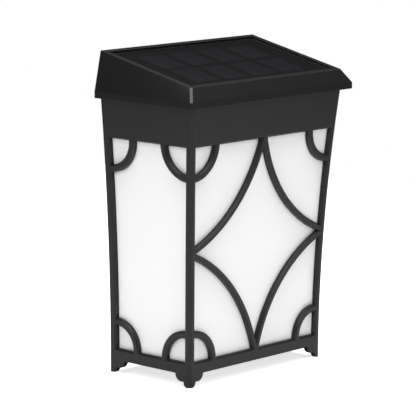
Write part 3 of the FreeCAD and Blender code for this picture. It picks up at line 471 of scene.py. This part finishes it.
def moulded_group() -> Tree:
    """The surface of a moulded piece, from Object coordinates in metres.

    Colour: the base colour times 1 plus or minus Mottle, by a slow noise of about 25 mm.
    Roughness: the base roughness plus a share of Mottle by a noise of about 4 mm.
    Height: a fine noise of Grain Scale, which feeds a Bump node outside the group.

    Returns:
        The node group "moulded_surface".
    """
    group, net = new_group(
        "moulded_surface",
        {"Colour": (COLOUR, (0.5, 0.5, 0.5, 1.0)), "Roughness": (FLOAT, 0.5), "Mottle": (FLOAT, 0.1),
         "Grain Scale": (FLOAT, 2500.0)},
        {"Colour": COLOUR, "Roughness": FLOAT, "Height": FLOAT})
    given = net.add("NodeGroupInput").outputs
    result = net.add("NodeGroupOutput").inputs
    place = net.add("ShaderNodeTexCoord").outputs["Object"]
    slow_scale, quick_scale = 40.0, 260.0
    slow = net.noise(place, slow_scale, 3.0)
    quick = net.noise(place, quick_scale, 4.0)
    grain = net.noise(place, given["Grain Scale"], 2.0)
    shade = net.math("MULTIPLY_ADD", net.spread(slow, -1.0, 1.0), given["Mottle"], 1.0)
    tint = net.add("ShaderNodeVectorMath", {"Vector": given["Colour"], "Scale": shade}, operation="SCALE")
    net.join(tint.outputs["Vector"], result["Colour"])
    rough = net.math("MULTIPLY_ADD", net.spread(quick, -0.5, 0.5), given["Mottle"], given["Roughness"])
    net.join(rough, result["Roughness"])
    net.join(grain, result["Height"])
    return group


def stripe(net: Sockets, along: Socket, pitch: float, width: float) -> Socket:
    """Mask of 1 on evenly spaced lines.

    Args:
        net: the tree to build in.
        along: coordinate across the lines.
        pitch: distance between lines.
        width: width of a line.

    Returns:
        Socket that is 1 where the coordinate lies within half a width of a line.
    """
    nearest = net.math("PINGPONG", along, pitch / 2)
    return net.math("LESS_THAN", nearest, width / 2)


def cell_group() -> Tree:
    """Silver lines on a silicon cell, from the attribute "own_place" in millimetres.

    Thin fingers run across the cell and two bus bars run along it.

    Returns:
        The node group "cell_lines", whose Mask is 1 on a bus bar and half on a finger.
    """
    finger_pitch, finger_width, finger_strength = 1.66, 0.10, 0.5
    bar_pitch, bar_width = 9.2, 0.7
    group, net = new_group("cell_lines", {}, {"Mask": FLOAT})
    result = net.add("NodeGroupOutput").inputs
    own = net.add("ShaderNodeAttribute", attribute_name="own_place")
    split = net.add("ShaderNodeSeparateXYZ", {"Vector": own.outputs["Vector"]})
    fingers = stripe(net, split.outputs["Y"], finger_pitch, finger_width)
    bars = stripe(net, net.math("ADD", split.outputs["X"], bar_pitch / 2), bar_pitch, bar_width)
    net.join(net.math("MAXIMUM", net.math("MULTIPLY", fingers, finger_strength), bars), result["Mask"])
    return group


def trace_group() -> Tree:
    """Copper tracks under a board's mask: the cell borders of a square Voronoi pattern.

    Returns:
        The node group "board_tracks", whose Mask is 1 on a track.
    """
    scale = 330.0  # cells per metre
    border = 0.56  # distance from a cell's middle at which its border starts
    group, net = new_group("board_tracks", {}, {"Mask": FLOAT})
    result = net.add("NodeGroupOutput").inputs
    place = net.add("ShaderNodeTexCoord").outputs["Object"]
    cells = net.add("ShaderNodeTexVoronoi", {"Vector": place, "Scale": scale}, distance="CHEBYCHEV")
    net.join(net.math("GREATER_THAN", cells.outputs["Distance"], border), result["Mask"])
    return group


def groups(kind: str) -> Tree:
    """The shared node group of that kind, built on first use."""
    makers = {"moulded_surface": moulded_group, "cell_lines": cell_group, "board_tracks": trace_group}
    return bpy.data.node_groups.get(kind) or makers[kind]()


# ---- finishes ------------

@dataclass(frozen=True)
class Finish:
    """A moulded, coated or metal finish with mottle, a fine grain and softened edges."""

    name: str
    colour: Triple
    roughness: float = 0.45
    grain: Grain = Grain.SATIN
    mottle: float = 0.06
    specular: float = 0.5
    metallic: float = 0.0
    coat: float = 0.0
    subsurface: float = 0.0
    scatter: float = 2.0  # millimetres that light spreads under a surface
    alpha: float = 1.0
    edge: float = 0.35  # millimetres that an edge is rounded by in the shading
    pattern: str = ""  # node group whose Mask lays the second colour over the first
    pattern_colour: Triple = (0.0, 0.0, 0.0)

    def material(self) -> bpy.types.Material:
        """The finish as a material: the moulded_surface group into a Principled BSDF.

        Returns:
            The material, made on first use.
        """
        made = bpy.data.materials.get(self.name)
        if made:
            return made
        made = bpy.data.materials.new(self.name)
        made.use_nodes = True
        made.diffuse_color = (*self.colour, 1.0)
        net = Sockets(made.node_tree)
        grain_scale, grain_height = self.grain.value
        surface = net.add("ShaderNodeGroup", {
            "Colour": (*self.colour, 1.0), "Roughness": self.roughness, "Mottle": self.mottle,
            "Grain Scale": grain_scale}, node_tree=groups("moulded_surface")).outputs
        colour = surface["Colour"]
        if self.pattern:
            lines = net.add("ShaderNodeGroup", node_tree=groups(self.pattern))
            second = net.add("ShaderNodeRGB")
            second.outputs["Color"].default_value = (*self.pattern_colour, 1.0)
            colour = net.blend(lines.outputs["Mask"], colour, second.outputs["Color"])
        bump = net.add("ShaderNodeBump", {"Distance": grain_height * MM, "Height": surface["Height"]})
        if self.edge:
            rounded = net.add("ShaderNodeBevel", {"Radius": self.edge * MM}, samples=4)
            net.join(rounded.outputs["Normal"], bump.inputs["Normal"])
        shader = net.add("ShaderNodeBsdfPrincipled", {
            "Base Color": colour, "Roughness": surface["Roughness"], "Normal": bump.outputs["Normal"],
            "Metallic": self.metallic, "Specular IOR Level": self.specular,
            "Coat Weight": self.coat, "Alpha": self.alpha})
        net.add("ShaderNodeOutputMaterial", {"Surface": shader.outputs["BSDF"]})
        if self.subsurface:
            shader.inputs["Subsurface Weight"].default_value = self.subsurface
            shader.inputs["Subsurface Radius"].default_value = (self.scatter * MM,) * 3
        return made

    def dress(self, *nodes: str) -> None:
        """Gives CAD nodes this finish."""
        for node in nodes:
            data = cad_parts[node].data
            data.materials.clear()
            data.materials.append(self.material())
            LOG.info("%s: %s", node, self.name)


METAL = partial(Finish, grain=Grain.GLOSS, metallic=1.0)
WIRE = partial(Finish, roughness=0.35, grain=Grain.GLOSS, edge=0.0)

BLACK = Finish("housing_black", (0.0080, 0.0080, 0.0082), roughness=0.42, specular=0.35, edge=0.2)
ROOF_BLACK = Finish("roof_black", (0.0085, 0.0085, 0.0087), roughness=0.38, specular=0.32, edge=0.25)
BACK_BLACK = Finish("back_black", (0.016, 0.016, 0.017), roughness=0.55, grain=Grain.MATTE, mottle=0.1)
FROSTED = Finish("frosted_white", (0.965, 0.965, 0.96), roughness=0.45, mottle=0.012,
                 subsurface=0.3, edge=0.0)
SHEET = Finish("reflector_white", (0.88, 0.88, 0.88), roughness=0.35)
LAMINATE = Finish("panel_laminate", (0.006, 0.006, 0.007), roughness=0.5, mottle=0.15)
CELL = Finish("silicon_cell", (0.016, 0.017, 0.019), roughness=0.35, grain=Grain.GLOSS, mottle=0.2,
              edge=0.0, pattern="cell_lines", pattern_colour=(0.036, 0.036, 0.039))
RESIN = Finish("panel_resin", (0.005, 0.005, 0.006), roughness=0.26, grain=Grain.GLOSS, mottle=0.04,
               alpha=0.60, edge=0.0)
BEAD = Finish("seal_grey", (0.032, 0.032, 0.033), roughness=0.5, grain=Grain.MATTE, edge=0.0)
TRAY = Finish("tray_white", (0.80, 0.80, 0.79), roughness=0.4)
LAMP_BOARD = Finish("lamp_board_white", (0.82, 0.82, 0.80), roughness=0.35, edge=0.15,
                    pattern="board_tracks", pattern_colour=(0.74, 0.74, 0.72))
PACKAGE = Finish("lamp_package", (0.85, 0.85, 0.83), roughness=0.4, edge=0.0)
PHOSPHOR = Finish("lamp_phosphor", (0.80, 0.60, 0.16), roughness=0.25, grain=Grain.GLOSS, coat=0.5, edge=0.0)
HOLDER = Finish("holder_black", (0.020, 0.020, 0.020), roughness=0.5, grain=Grain.MATTE)
WRAP = Finish("cell_wrap_green", (0.05, 0.20, 0.08), roughness=0.25, grain=Grain.GLOSS, coat=0.3, edge=0.0)
NICKEL = METAL("contact_nickel", (0.60, 0.59, 0.56), roughness=0.28, edge=0.1)
MASK = Finish("solder_mask_green", (0.02, 0.14, 0.05), roughness=0.3, grain=Grain.GLOSS, coat=0.4,
              edge=0.1, pattern="board_tracks", pattern_colour=(0.035, 0.20, 0.075))
CHIP_BLACK = Finish("chip_black", (0.02, 0.02, 0.02), roughness=0.6, grain=Grain.MATTE, edge=0.0)
FERRITE = Finish("ferrite_grey", (0.05, 0.05, 0.055), roughness=0.55, grain=Grain.MATTE, edge=0.0)
COPPER = METAL("winding_copper", (0.55, 0.22, 0.10), roughness=0.3, edge=0.0)
CAN = METAL("can_aluminium", (0.70, 0.71, 0.72), roughness=0.3, edge=0.0)
CREAM = Finish("connector_cream", (0.72, 0.68, 0.56), roughness=0.45)
SWITCH = Finish("switch_black", (0.03, 0.03, 0.034), roughness=0.45)
STEM = Finish("stem_ivory", (0.60, 0.58, 0.52), roughness=0.4)
RUBBER = Finish("button_rubber", (0.020, 0.020, 0.020), roughness=0.7, grain=Grain.MATTE,
                specular=0.35, edge=0.0)
ZINC = METAL("screw_zinc", (0.52, 0.52, 0.50), roughness=0.32, edge=0.0)
RED = WIRE("wire_red", (0.55, 0.02, 0.015))
DARK = WIRE("wire_black", (0.02, 0.02, 0.02))
GREY = WIRE("wire_grey", (0.30, 0.30, 0.30))


# ---- the lantern's sub-assemblies ------------

@dataclass
class Housing:
    """Flared lattice housing with the frosted diffuser and the white sheet behind the light room."""

    def build(self) -> None:
        """Dresses the housing's solids."""
        BLACK.dress("lantern_frame")
        FROSTED.dress("diffuser")
        SHEET.dress("back_reflector")


@dataclass
class Roof:
    """Roof moulding and the screws that hold it to the housing from below."""

    screw: Screw = Screw(1.25, 7.0, 2.8, 1.8)
    screw_x: float = 49.5
    screw_y: Pair = (-54.5, -16.5)
    seat_z: float = 143.3

    def build(self) -> None:
        """Dresses the roof and sets its four screws."""
        ROOF_BLACK.dress("roof_shell")
        places = [Place((x, y, self.seat_z), DOWN)
                  for x in (-self.screw_x, self.screw_x) for y in self.screw_y]
        self.screw.set_in(places, "roof_screws_cut", "roof_screws")


@dataclass
class SolarPanel:
    """Sunk panel: laminate, two rows of four cells, clear face and the sealing bead."""

    slope: float = 12.5  # degrees, falling to the front
    back_height: float = 170.0  # height of the rim's plane at the fence
    half_width: float = 55.35  # half the width of the bed
    bed: Pair = (3.3, 61.74)  # its ends, down the slope
    sink: float = 1.0  # depth of the clear face under the rim
    face: float = 1.0  # thickness of the clear face
    gap: float = 0.6  # round the clear face, filled by the bead
    bead: Pair = (-2.6, -0.55)  # its foot, and where its half round starts
    cell: Triple = (17.3, 19.9, 0.25)  # width, length and thickness
    pitch: Pair = (22.1, 23.7)
    crown: float = 0.18  # how far the clear face falls away at its edge
    run: float = 5.0  # width of the falling edge
    corner_radii: Triple = (0.6, 1.0, 1.6)  # of a cell, the face and the bead

    def place(self, across: float, down: float, over: float) -> Place:
        """A place on the slope.

        Args:
            across: millimetres to the right of the middle.
            down: millimetres down the slope from the back edge.
            over: height over the rim's plane.

        Returns:
            The place, with its up direction square to the slope.
        """
        turn = math.radians(self.slope)
        up = (0.0, -math.sin(turn), math.cos(turn))
        point = (across, -down * math.cos(turn) + over * up[1],
                 self.back_height - down * math.sin(turn) + over * up[2])
        return Place(point, up)

    def build(self) -> None:
        """Builds the cells, the face and the bead and dresses the laminate."""
        LAMINATE.dress("panel_board")
        middle, half_length = sum(self.bed) / 2, (self.bed[1] - self.bed[0]) / 2
        self.build_cells(middle)
        self.build_face(middle, half_length)
        self.build_bead(middle, half_length)

    def build_cells(self, middle: float) -> None:
        """Lays the eight cells, thin tiles with slightly cut corners."""
        width, length, thickness = self.cell
        edges = soft_edges(0.0, thickness, 0.06)
        tile = stacked(width / 2, length / 2, self.corner_radii[0], edges, steps=3)
        cells = Surface()
        for column in (-1.5, -0.5, 0.5, 1.5):
            for row in (-0.5, 0.5):
                cells.grid(tile, self.place(column * self.pitch[0], middle + row * self.pitch[1],
                                            -self.sink - self.face))
        cells.piece("silicon_cells", CELL, "solar_cell", replaces="solar_cells")

    def build_face(self, middle: float, half_length: float) -> None:
        """Pours the clear face: at i from its edge, its top lies crown (1 - i / run)^2 low."""
        inset = np.linspace(0.0, self.run, 9)
        fall = -self.crown * (1 - inset / self.run) ** 2
        profile = [(0.0, -self.face), *zip(inset, fall)]
        skin = stacked(self.half_width - self.gap, half_length - self.gap, self.corner_radii[1], profile)
        Surface().grid(skin, self.place(0.0, middle, -self.sink)).piece(
            "clear_face", RESIN, "panel_face", replaces="panel_face")

    def build_bead(self, middle: float, half_length: float) -> None:
        """Runs the bead round the panel: a section of width gap whose top is a half round."""
        angle = np.linspace(0.0, math.pi, 7)
        half = self.gap / 2
        foot, shoulder = self.bead
        arch = zip(half - half * np.cos(angle), shoulder + half * np.sin(angle))
        section = [(0.0, foot), *arch, (self.gap, foot)]
        skin = stacked(self.half_width, half_length, self.corner_radii[2], section)
        Surface().grid(skin, self.place(0.0, middle, -self.sink), ring=True).piece(
            "seal_bead", BEAD, "sealant", replaces="panel_seal")


@dataclass
class BackCover:
    """Back plate with its keyhole, held by two sunk screws."""

    screw: Screw = Screw(1.0, 6.5, 2.6, 1.2)
    screw_x: float = 49.0
    screw_z: float = 140.0
    seat_y: float = -2.2

    def build(self) -> None:
        """Dresses the plate and sets its screws."""
        BACK_BLACK.dress("back_plate")
        places = [Place((x, self.seat_y, self.screw_z), BACK) for x in (-self.screw_x, self.screw_x)]
        self.screw.set_in(places, "back_screws_cut", "back_screws")


@dataclass
class LampTray:
    """Tray with the lamp board and its six chips underneath."""

    board_low: float = 127.4
    chip_x: tuple[float, ...] = (-22.0, 0.0, 22.0)
    chip_y: tuple[float, ...] = (-38.0, -30.0)
    chip: Triple = (1.8, 1.4, 0.9)  # half width, half length and height
    lens: Triple = (1.2, 0.9, 0.24)
    lens_run: float = 0.7  # width of the lens's rounded edge
    lens_root: float = 0.1  # depth of the lens in its package
    screw: Screw = Screw(0.85, 4.4, 1.8, 1.0, slot=0.28)
    screw_x: float = 32.0
    screw_y: float = -34.0

    def build(self) -> None:
        """Dresses the tray and its board, and builds the chips and screws."""
        TRAY.dress("light_tray")
        LAMP_BOARD.dress("led_board")
        half_x, half_y, height = self.chip
        corner, edge, lens_corner = 0.3, 0.12, 0.8
        body = stacked(half_x, half_y, corner, soft_edges(0.0, height, edge))
        lens_x, lens_y, rise = self.lens
        angle = np.linspace(0.0, math.pi / 2, 7)
        dome = zip(self.lens_run * (1 - np.cos(angle)), rise * np.sin(angle))
        drop = stacked(lens_x, lens_y, lens_corner, [(0.0, -self.lens_root), *dome])
        packages, phosphor = Surface(), Surface()
        for x in self.chip_x:
            for y in self.chip_y:
                packages.grid(body, Place((x, y, self.board_low), DOWN))
                phosphor.grid(drop, Place((x, y, self.board_low - height), DOWN))
        packages.piece("chip_packages", PACKAGE, "lamp_chip", replaces="led_chips")
        phosphor.piece("chip_phosphor", PHOSPHOR, "lamp_chip")
        places = [Place((x, self.screw_y, self.board_low), DOWN) for x in (-self.screw_x, self.screw_x)]
        self.screw.set_in(places, "lamp_screws_cut", "led_screws")


@dataclass
class Battery:
    """Cell in its cradle, between two sprung contacts."""

    start: float = -22.3
    length: float = 48.5
    radius: float = 7.1
    axis: Pair = (-20.0, 139.6)  # y and z
    nub: Pair = (2.7, 0.4)  # radius, and how far it stands out
    sleeve: float = 0.12  # thickness of the printed sleeve

    def build(self) -> None:
        """Dresses the cradle and contacts, and builds the can and its printed sleeve."""
        HOLDER.dress("battery_holder")
        NICKEL.dress("positive_contact", "negative_contact")
        y, z = self.axis
        place = Place((self.start, y, z), RIGHT)
        end, inner = self.length, self.radius - self.sleeve
        nub_radius, proud = self.nub
        can = [(inner - 1.2, 0.0), (inner - 0.7, 0.12), (inner - 0.25, 0.4), (inner, 0.8),
               (inner, end - 1.6), (inner - 0.15, end - 0.9), (inner - 0.6, end - 0.4),
               (inner - 1.3, end - 0.15), (inner - 2.4, end - 0.3), (nub_radius + 0.5, end - 0.3),
               (nub_radius + 0.1, end - 0.15), (nub_radius, end),
               (nub_radius - 0.1, end + proud - 0.1), (nub_radius - 0.4, end + proud)]
        Surface().grid(turned(can, 64), place).piece(
            "cell_can", NICKEL, "battery_wrap", replaces="battery_cell")
        wrap = [(inner - 0.1, 0.5), (self.radius - 0.03, 0.75), (self.radius, 1.0), (self.radius, end - 2.2),
                (self.radius - 0.03, end - 1.9), (inner - 0.1, end - 1.7)]
        Surface().grid(turned(wrap, 64), place).piece("cell_sleeve", WRAP, "battery_wrap")


@dataclass
class ChargeBoard:
    """Control board with its chip, choke, capacitor and connectors."""

    top: float = 136.1
    chip: tuple[float, float, float, float] = (3.0, 8.0, -50.5, -46.5)  # from x to x, from y to y
    chip_height: Pair = (0.15, 1.6)  # bottom and top
    leg_pitch: float = 1.27
    choke: Pair = (16.0, -48.5)
    choke_radius: Pair = (3.5, 2.7)  # flanges and winding
    choke_height: float = 5.0
    flange: float = 1.1
    wire: float = 0.4  # pitch of the winding
    capacitor: Pair = (-5.0, -43.0)
    can: Pair = (2.5, 5.4)  # radius and height
    foot: Pair = (2.6, 0.8)  # half size and height
    screw: Screw = Screw(0.85, 5.0, 1.8, 1.2, slot=0.28)
    screw_places: tuple[Pair, Pair] = ((-7.0, -52.0), (24.0, -52.0))

    def build(self) -> None:
        """Dresses the board and connectors and builds what stands on it."""
        MASK.dress("control_board")
        CREAM.dress("lead_connectors")
        self.build_chip()
        self.build_choke()
        self.build_capacitor()
        places = [Place((x, y, self.top)) for x, y in self.screw_places]
        self.screw.set_in(places, "board_screws_cut", "board_screws")

    def build_chip(self) -> None:
        """Builds the chip's body and its eight bent legs."""
        low_x, high_x, front, back = self.chip
        low, high = self.chip_height
        middle = Place(((low_x + high_x) / 2, (front + back) / 2, self.top))
        half, corner, draft = (back - front) / 2, 0.2, 0.15
        body = stacked((high_x - low_x) / 2, half, corner,
                       [(draft, low), (0.0, (low + high) / 2), (draft, high)], steps=3)
        Surface().grid(body, middle).piece("chip_body", CHIP_BLACK, "chip_black", replaces="driver_chip")
        legs = Surface()
        shape = ((-0.3, 0.8), (0.35, 0.8), (0.45, 0.14), (0.95, 0.14))  # past the body's side, height
        bend, radius = 0.12, 0.13
        for side in (-1.0, 1.0):
            for step in (-1.5, -0.5, 0.5, 1.5):
                route = [(step * self.leg_pitch, side * (half + out), level) for out, level in shape]
                legs.grid(tube(bent_path(route, bend), radius, 6), middle)
        legs.piece("chip_legs", NICKEL, "chip_black")

    def build_choke(self) -> None:
        """Builds the drum and the winding.

        The winding's radius is waist - groove (1 - |cos (pi h / wire)|) at a height h over the flange.
        """
        wide, waist = self.choke_radius
        place = Place((*self.choke, self.top))
        low, high, height = self.flange, self.choke_height - self.flange, self.choke_height
        edge, core, groove = 0.15, waist - 0.6, 0.2
        drum = [(wide - edge, 0.0), (wide, edge), (wide, low - edge), (wide - edge, low), (core, low),
                (core, high), (wide - edge, high), (wide, high + edge), (wide, height - edge),
                (wide - edge, height)]
        Surface().grid(turned(drum), place).piece("choke_drum", FERRITE, "ferrite", replaces="choke_coil")
        level = np.linspace(low, high, 73)
        ripple = waist - groove * (1 - np.abs(np.cos((level - low) * math.pi / self.wire)))
        Surface().grid(turned([*zip(ripple, level)]), place).piece("choke_winding", COPPER, "ferrite")

    def build_capacitor(self) -> None:
        """Builds the can with its rolled rim and groove, on a square foot with cut corners."""
        radius, height = self.can
        half, rise = self.foot
        corner, edge = 0.9, 0.1
        place = Place((*self.capacitor, self.top))
        foot = stacked(half, half, corner, soft_edges(0.0, rise, edge), steps=2)
        Surface().grid(foot, place).piece("capacitor_foot", CHIP_BLACK, "can_metal")
        low, top, groove = rise, rise + height, radius - 0.22
        can = [(radius - 0.1, low), (radius, low + 0.2), (radius, low + 0.7), (groove, low + 0.95),
               (groove, low + 1.05), (radius, low + 1.3), (radius, top - 0.3),
               (radius - 0.1, top - 0.08), (radius - 0.35, top), (radius - 0.6, top - 0.06),
               (radius - 0.8, top - 0.06)]
        Surface().grid(turned(can), place).piece("capacitor_can", CAN, "can_metal", replaces="capacitor")


@dataclass
class PowerSwitch:
    """Push switch in its sleeve behind the rubber button."""

    place: Pair = (38.0, 137.0)  # x and z
    cap: float = 3.2  # radius
    flange: float = 3.9  # radius
    front: float = -4.7  # y of the flange's inner face
    face: float = -0.6  # y of the cap's face

    def build(self) -> None:
        """Dresses the switch and builds the button: flange, rim, sunk ring and middle."""
        SWITCH.dress("switch_body")
        STEM.dress("switch_stem")
        NICKEL.dress("switch_pins")
        x, z = self.place
        cap, flange, top = self.cap, self.flange, self.face - self.front
        under = [(flange - 0.1, 0.0), (flange, 0.1), (flange, 0.9), (flange - 0.1, 1.0), (cap, 1.0)]
        falls = ((cap, 0.5), (cap - 0.06, 0.27), (cap - 0.2, 0.1), (cap - 0.42, 0.02), (cap - 0.7, 0.0),
                 (2.1, 0.0), (1.98, 0.1), (1.85, 0.16), (1.7, 0.16), (1.57, 0.1), (1.45, 0.0),
                 (0.9, 0.02), (0.15, 0.04))
        profile = [*under, *((radius, top - fall) for radius, fall in falls)]
        Surface().grid(turned(profile, 64), Place((x, self.front, z), BACK)).piece(
            "button_cap", RUBBER, "button_rubber", body=Body.BUTTON, replaces="mode_button")


@dataclass
class Leads:
    """Inner wires between the panel, the battery, the switch, the lamp board and the control board.

    Where a field has two values, the red wire has the first and the black wire the second.
    """

    radius: float = 0.55
    bend: float = 2.4
    connector_row: float = -38.5
    connector_top: float = 142.1
    panel_pins: Pair = (0.75, 3.25)
    panel_end: Pair = (-33.0, 159.0)  # y and z at the panel's underside
    panel_rise: Pair = (5.5, 10.0)  # heights of the two bends on the way
    battery_pins: Pair = (13.25, 10.75)
    battery_levels: Pair = (147.5, 149.5)
    battery_end: Triple = (28.9, -20.0, 141.1)  # the tab, mirrored for black
    battery_x: float = 34.0  # where a wire passes the cell's end
    lamp_pin: float = 22.0
    lamp_rows: Pair = (-37.25, -39.75)
    lamp_level: float = 145.3
    lamp_hole: float = 43.5  # x of the opening in the tray
    lamp_end: Pair = (35.0, 128.2)  # x and z on the lamp board
    switch_pins: tuple[Pair, Pair] = ((36.75, -42.0), (39.25, -45.0))  # x, and row
    switch_run: Triple = (-18.0, -30.0, 137.0)  # from y to y, at this height
    switch_end: Pair = (27.0, 135.3)  # x and z at the control board

    def build(self) -> None:
        """Builds one piece for each colour of wire."""
        red, black = [[self.panel(wire), self.battery(wire), self.lamp(wire)] for wire in (0, 1)]
        start, turn, high = self.switch_run
        end_x, end_z = self.switch_end
        grey = [[(x, start, high), (x, turn, high), (x, row, end_z), (end_x, row, end_z)]
                for x, row in self.switch_pins]
        for name, finish, slot, node, routes in (
                ("wires_red", RED, "red_insulation", "red_leads", red),
                ("wires_black", DARK, "black_insulation", "black_leads", black),
                ("wires_grey", GREY, "grey_insulation", "switch_leads", grey)):
            surface = Surface()
            for route in routes:
                surface.grid(tube(bent_path(route, self.bend), self.radius), Place((0.0, 0.0, 0.0)))
            surface.piece(name, finish, slot, replaces=node)

    def panel(self, wire: int) -> list[Triple]:
        """Route from the first connector up to the panel's underside."""
        x, row, top = self.panel_pins[wire], self.connector_row, self.connector_top
        (end_y, end_z), (first, second) = self.panel_end, self.panel_rise
        return [(x, row, top), (x, row, top + first), (x, end_y, top + second), (x, end_y, end_z)]

    def battery(self, wire: int) -> list[Triple]:
        """Route from the second connector round the end of the cell to its solder tab."""
        x, row, level = self.battery_pins[wire], self.connector_row, self.battery_levels[wire]
        side = (1.0, -1.0)[wire]
        far, (tab, y, low) = side * self.battery_x, self.battery_end
        return [(x, row, self.connector_top), (x, row, level), (far, row, level), (far, y, level),
                (far, y, low), (side * tab, y, low)]

    def lamp(self, wire: int) -> list[Triple]:
        """Route from the third connector down through the tray to the lamp board."""
        x, row, level, hole = self.lamp_pin, self.lamp_rows[wire], self.lamp_level, self.lamp_hole
        end_x, end_z = self.lamp_end
        return [(x, row, self.connector_top), (x, row, level), (hole, row, level), (hole, row, end_z),
                (end_x, row, end_z)]


# ---- studio ------------

@dataclass(frozen=True)
class StudioLight:
    """One soft square lamp that faces the middle of the lantern."""

    name: str
    place: Triple
    size: float
    watts: float
    aim: Triple = (0.0, 0.0, 0.09)

    def build(self) -> None:
        """Makes the lamp: its -Z axis runs from place to aim."""
        data = bpy.data.lights.new(self.name, "AREA")
        data.size = self.size
        data.energy = self.watts
        lamp = placed(self.name, data)
        turn = (Vector(self.aim) - Vector(self.place)).to_track_quat("-Z", "Y")
        lamp.matrix_world = Matrix.Translation(self.place) @ turn.to_matrix().to_4x4()


@dataclass
class Studio:
    """White studio: floor, surrounding light, lamps and the camera."""

    sky: float = 0.03  # brightness of the surroundings
    floor_size: float = 1.1
    floor_colour: float = 0.82
    floor_glow: float = 0.75  # shown to the camera alone, so that the floor reads white
    camera_azimuth: float = -47.54  # degrees from straight on, to the lantern's left
    camera_height: float = 9.59  # degrees above the horizon
    camera_roll: float = 0.30  # degrees
    camera_distance: float = 1.35176
    camera_aim: Triple = (-0.00698, 0.00602, 0.08504)
    camera_lens: float = 222.465  # millimetres
    camera_film: float = 36.0  # millimetres
    lights: tuple[StudioLight, ...] = (
        StudioLight("top_light", (0.02, -0.03, 0.85), 0.80, 12.8),
        StudioLight("left_light", (-0.565, -0.06, 0.49), 0.30, 1.75),
        StudioLight("front_light", (-0.14, -0.55, 0.49), 0.30, 1.35),
    )

    def build(self) -> None:
        """Builds the whole studio."""
        self.make_world()
        self.make_floor()
        for light in self.lights:
            light.build()
        self.make_camera()

    def make_world(self) -> None:
        """White surroundings: 1 where the camera looks straight at them, else the sky value."""
        world = bpy.data.worlds.new("studio_surroundings")
        world.use_nodes = True
        net = Sockets(world.node_tree)
        seen = net.add("ShaderNodeBackground", {"Color": WHITE})
        lit = net.add("ShaderNodeBackground", {"Color": WHITE, "Strength": self.sky})
        path = net.add("ShaderNodeLightPath")
        mix = net.add("ShaderNodeMixShader", {"Fac": path.outputs["Is Camera Ray"]})
        net.join(lit.outputs["Background"], mix.inputs[1])
        net.join(seen.outputs["Background"], mix.inputs[2])
        net.add("ShaderNodeOutputWorld", {"Surface": mix.outputs["Shader"]})
        bpy.context.scene.world = world

    def make_floor(self) -> None:
        """A pale square floor at z = 0 that keeps a faint shadow and otherwise shows white."""
        half = self.floor_size / 2
        mesh = bpy.data.meshes.new("studio_floor")
        square = [(-half, -half, 0.0), (half, -half, 0.0), (half, half, 0.0), (-half, half, 0.0)]
        mesh.from_pydata(square, [], [(0, 1, 2, 3)])
        floor = placed("studio_floor", mesh)
        material = bpy.data.materials.new("studio_paper")
        material.use_nodes = True
        net = Sockets(material.node_tree)
        paper = net.add("ShaderNodeBsdfDiffuse", {"Color": (self.floor_colour,) * 3 + (1.0,)})
        path = net.add("ShaderNodeLightPath")
        shown = net.math("MULTIPLY", path.outputs["Is Camera Ray"], self.floor_glow)
        glow = net.add("ShaderNodeEmission", {"Color": WHITE, "Strength": shown})
        total = net.add("ShaderNodeAddShader")
        net.join(paper.outputs["BSDF"], total.inputs[0])
        net.join(glow.outputs["Emission"], total.inputs[1])
        net.add("ShaderNodeOutputMaterial", {"Surface": total.outputs["Shader"]})
        floor.data.materials.append(material)

    def make_camera(self) -> None:
        """A long-lens camera at the photograph's angle."""
        turn, lift, roll = np.radians((self.camera_azimuth, self.camera_height, self.camera_roll)).tolist()
        back = Vector((math.sin(turn) * math.cos(lift), -math.cos(turn) * math.cos(lift), math.sin(lift)))
        right = Vector((math.cos(turn), math.sin(turn), 0.0))
        up = back.cross(right)
        lean = Matrix.Rotation(roll, 3, back)
        right, up = lean @ right, lean @ up
        data = bpy.data.cameras.new("studio_camera")
        data.sensor_width = self.camera_film
        data.lens = self.camera_lens
        data.clip_start, data.clip_end = 0.05, 20.0
        camera = placed("studio_camera", data)
        axes = Matrix((right, up, back)).transposed().to_4x4()
        place = Vector(self.camera_aim) + back * self.camera_distance
        camera.matrix_world = Matrix.Translation(place) @ axes
        bpy.context.scene.camera = camera


def main() -> None:
    """Builds the looks of the lantern, sub-assembly by sub-assembly, then the studio."""
    logging.basicConfig(level=logging.INFO, format="%(name)s %(message)s")
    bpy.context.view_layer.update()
    bpy.context.scene.view_settings.view_transform = "Standard"
    for assembly in (Housing(), Roof(), SolarPanel(), BackCover(), LampTray(), Battery(), ChargeBoard(),
                     PowerSwitch(), Leads(), Studio()):
        assembly.build()


if __name__ == "__main__":
    main()
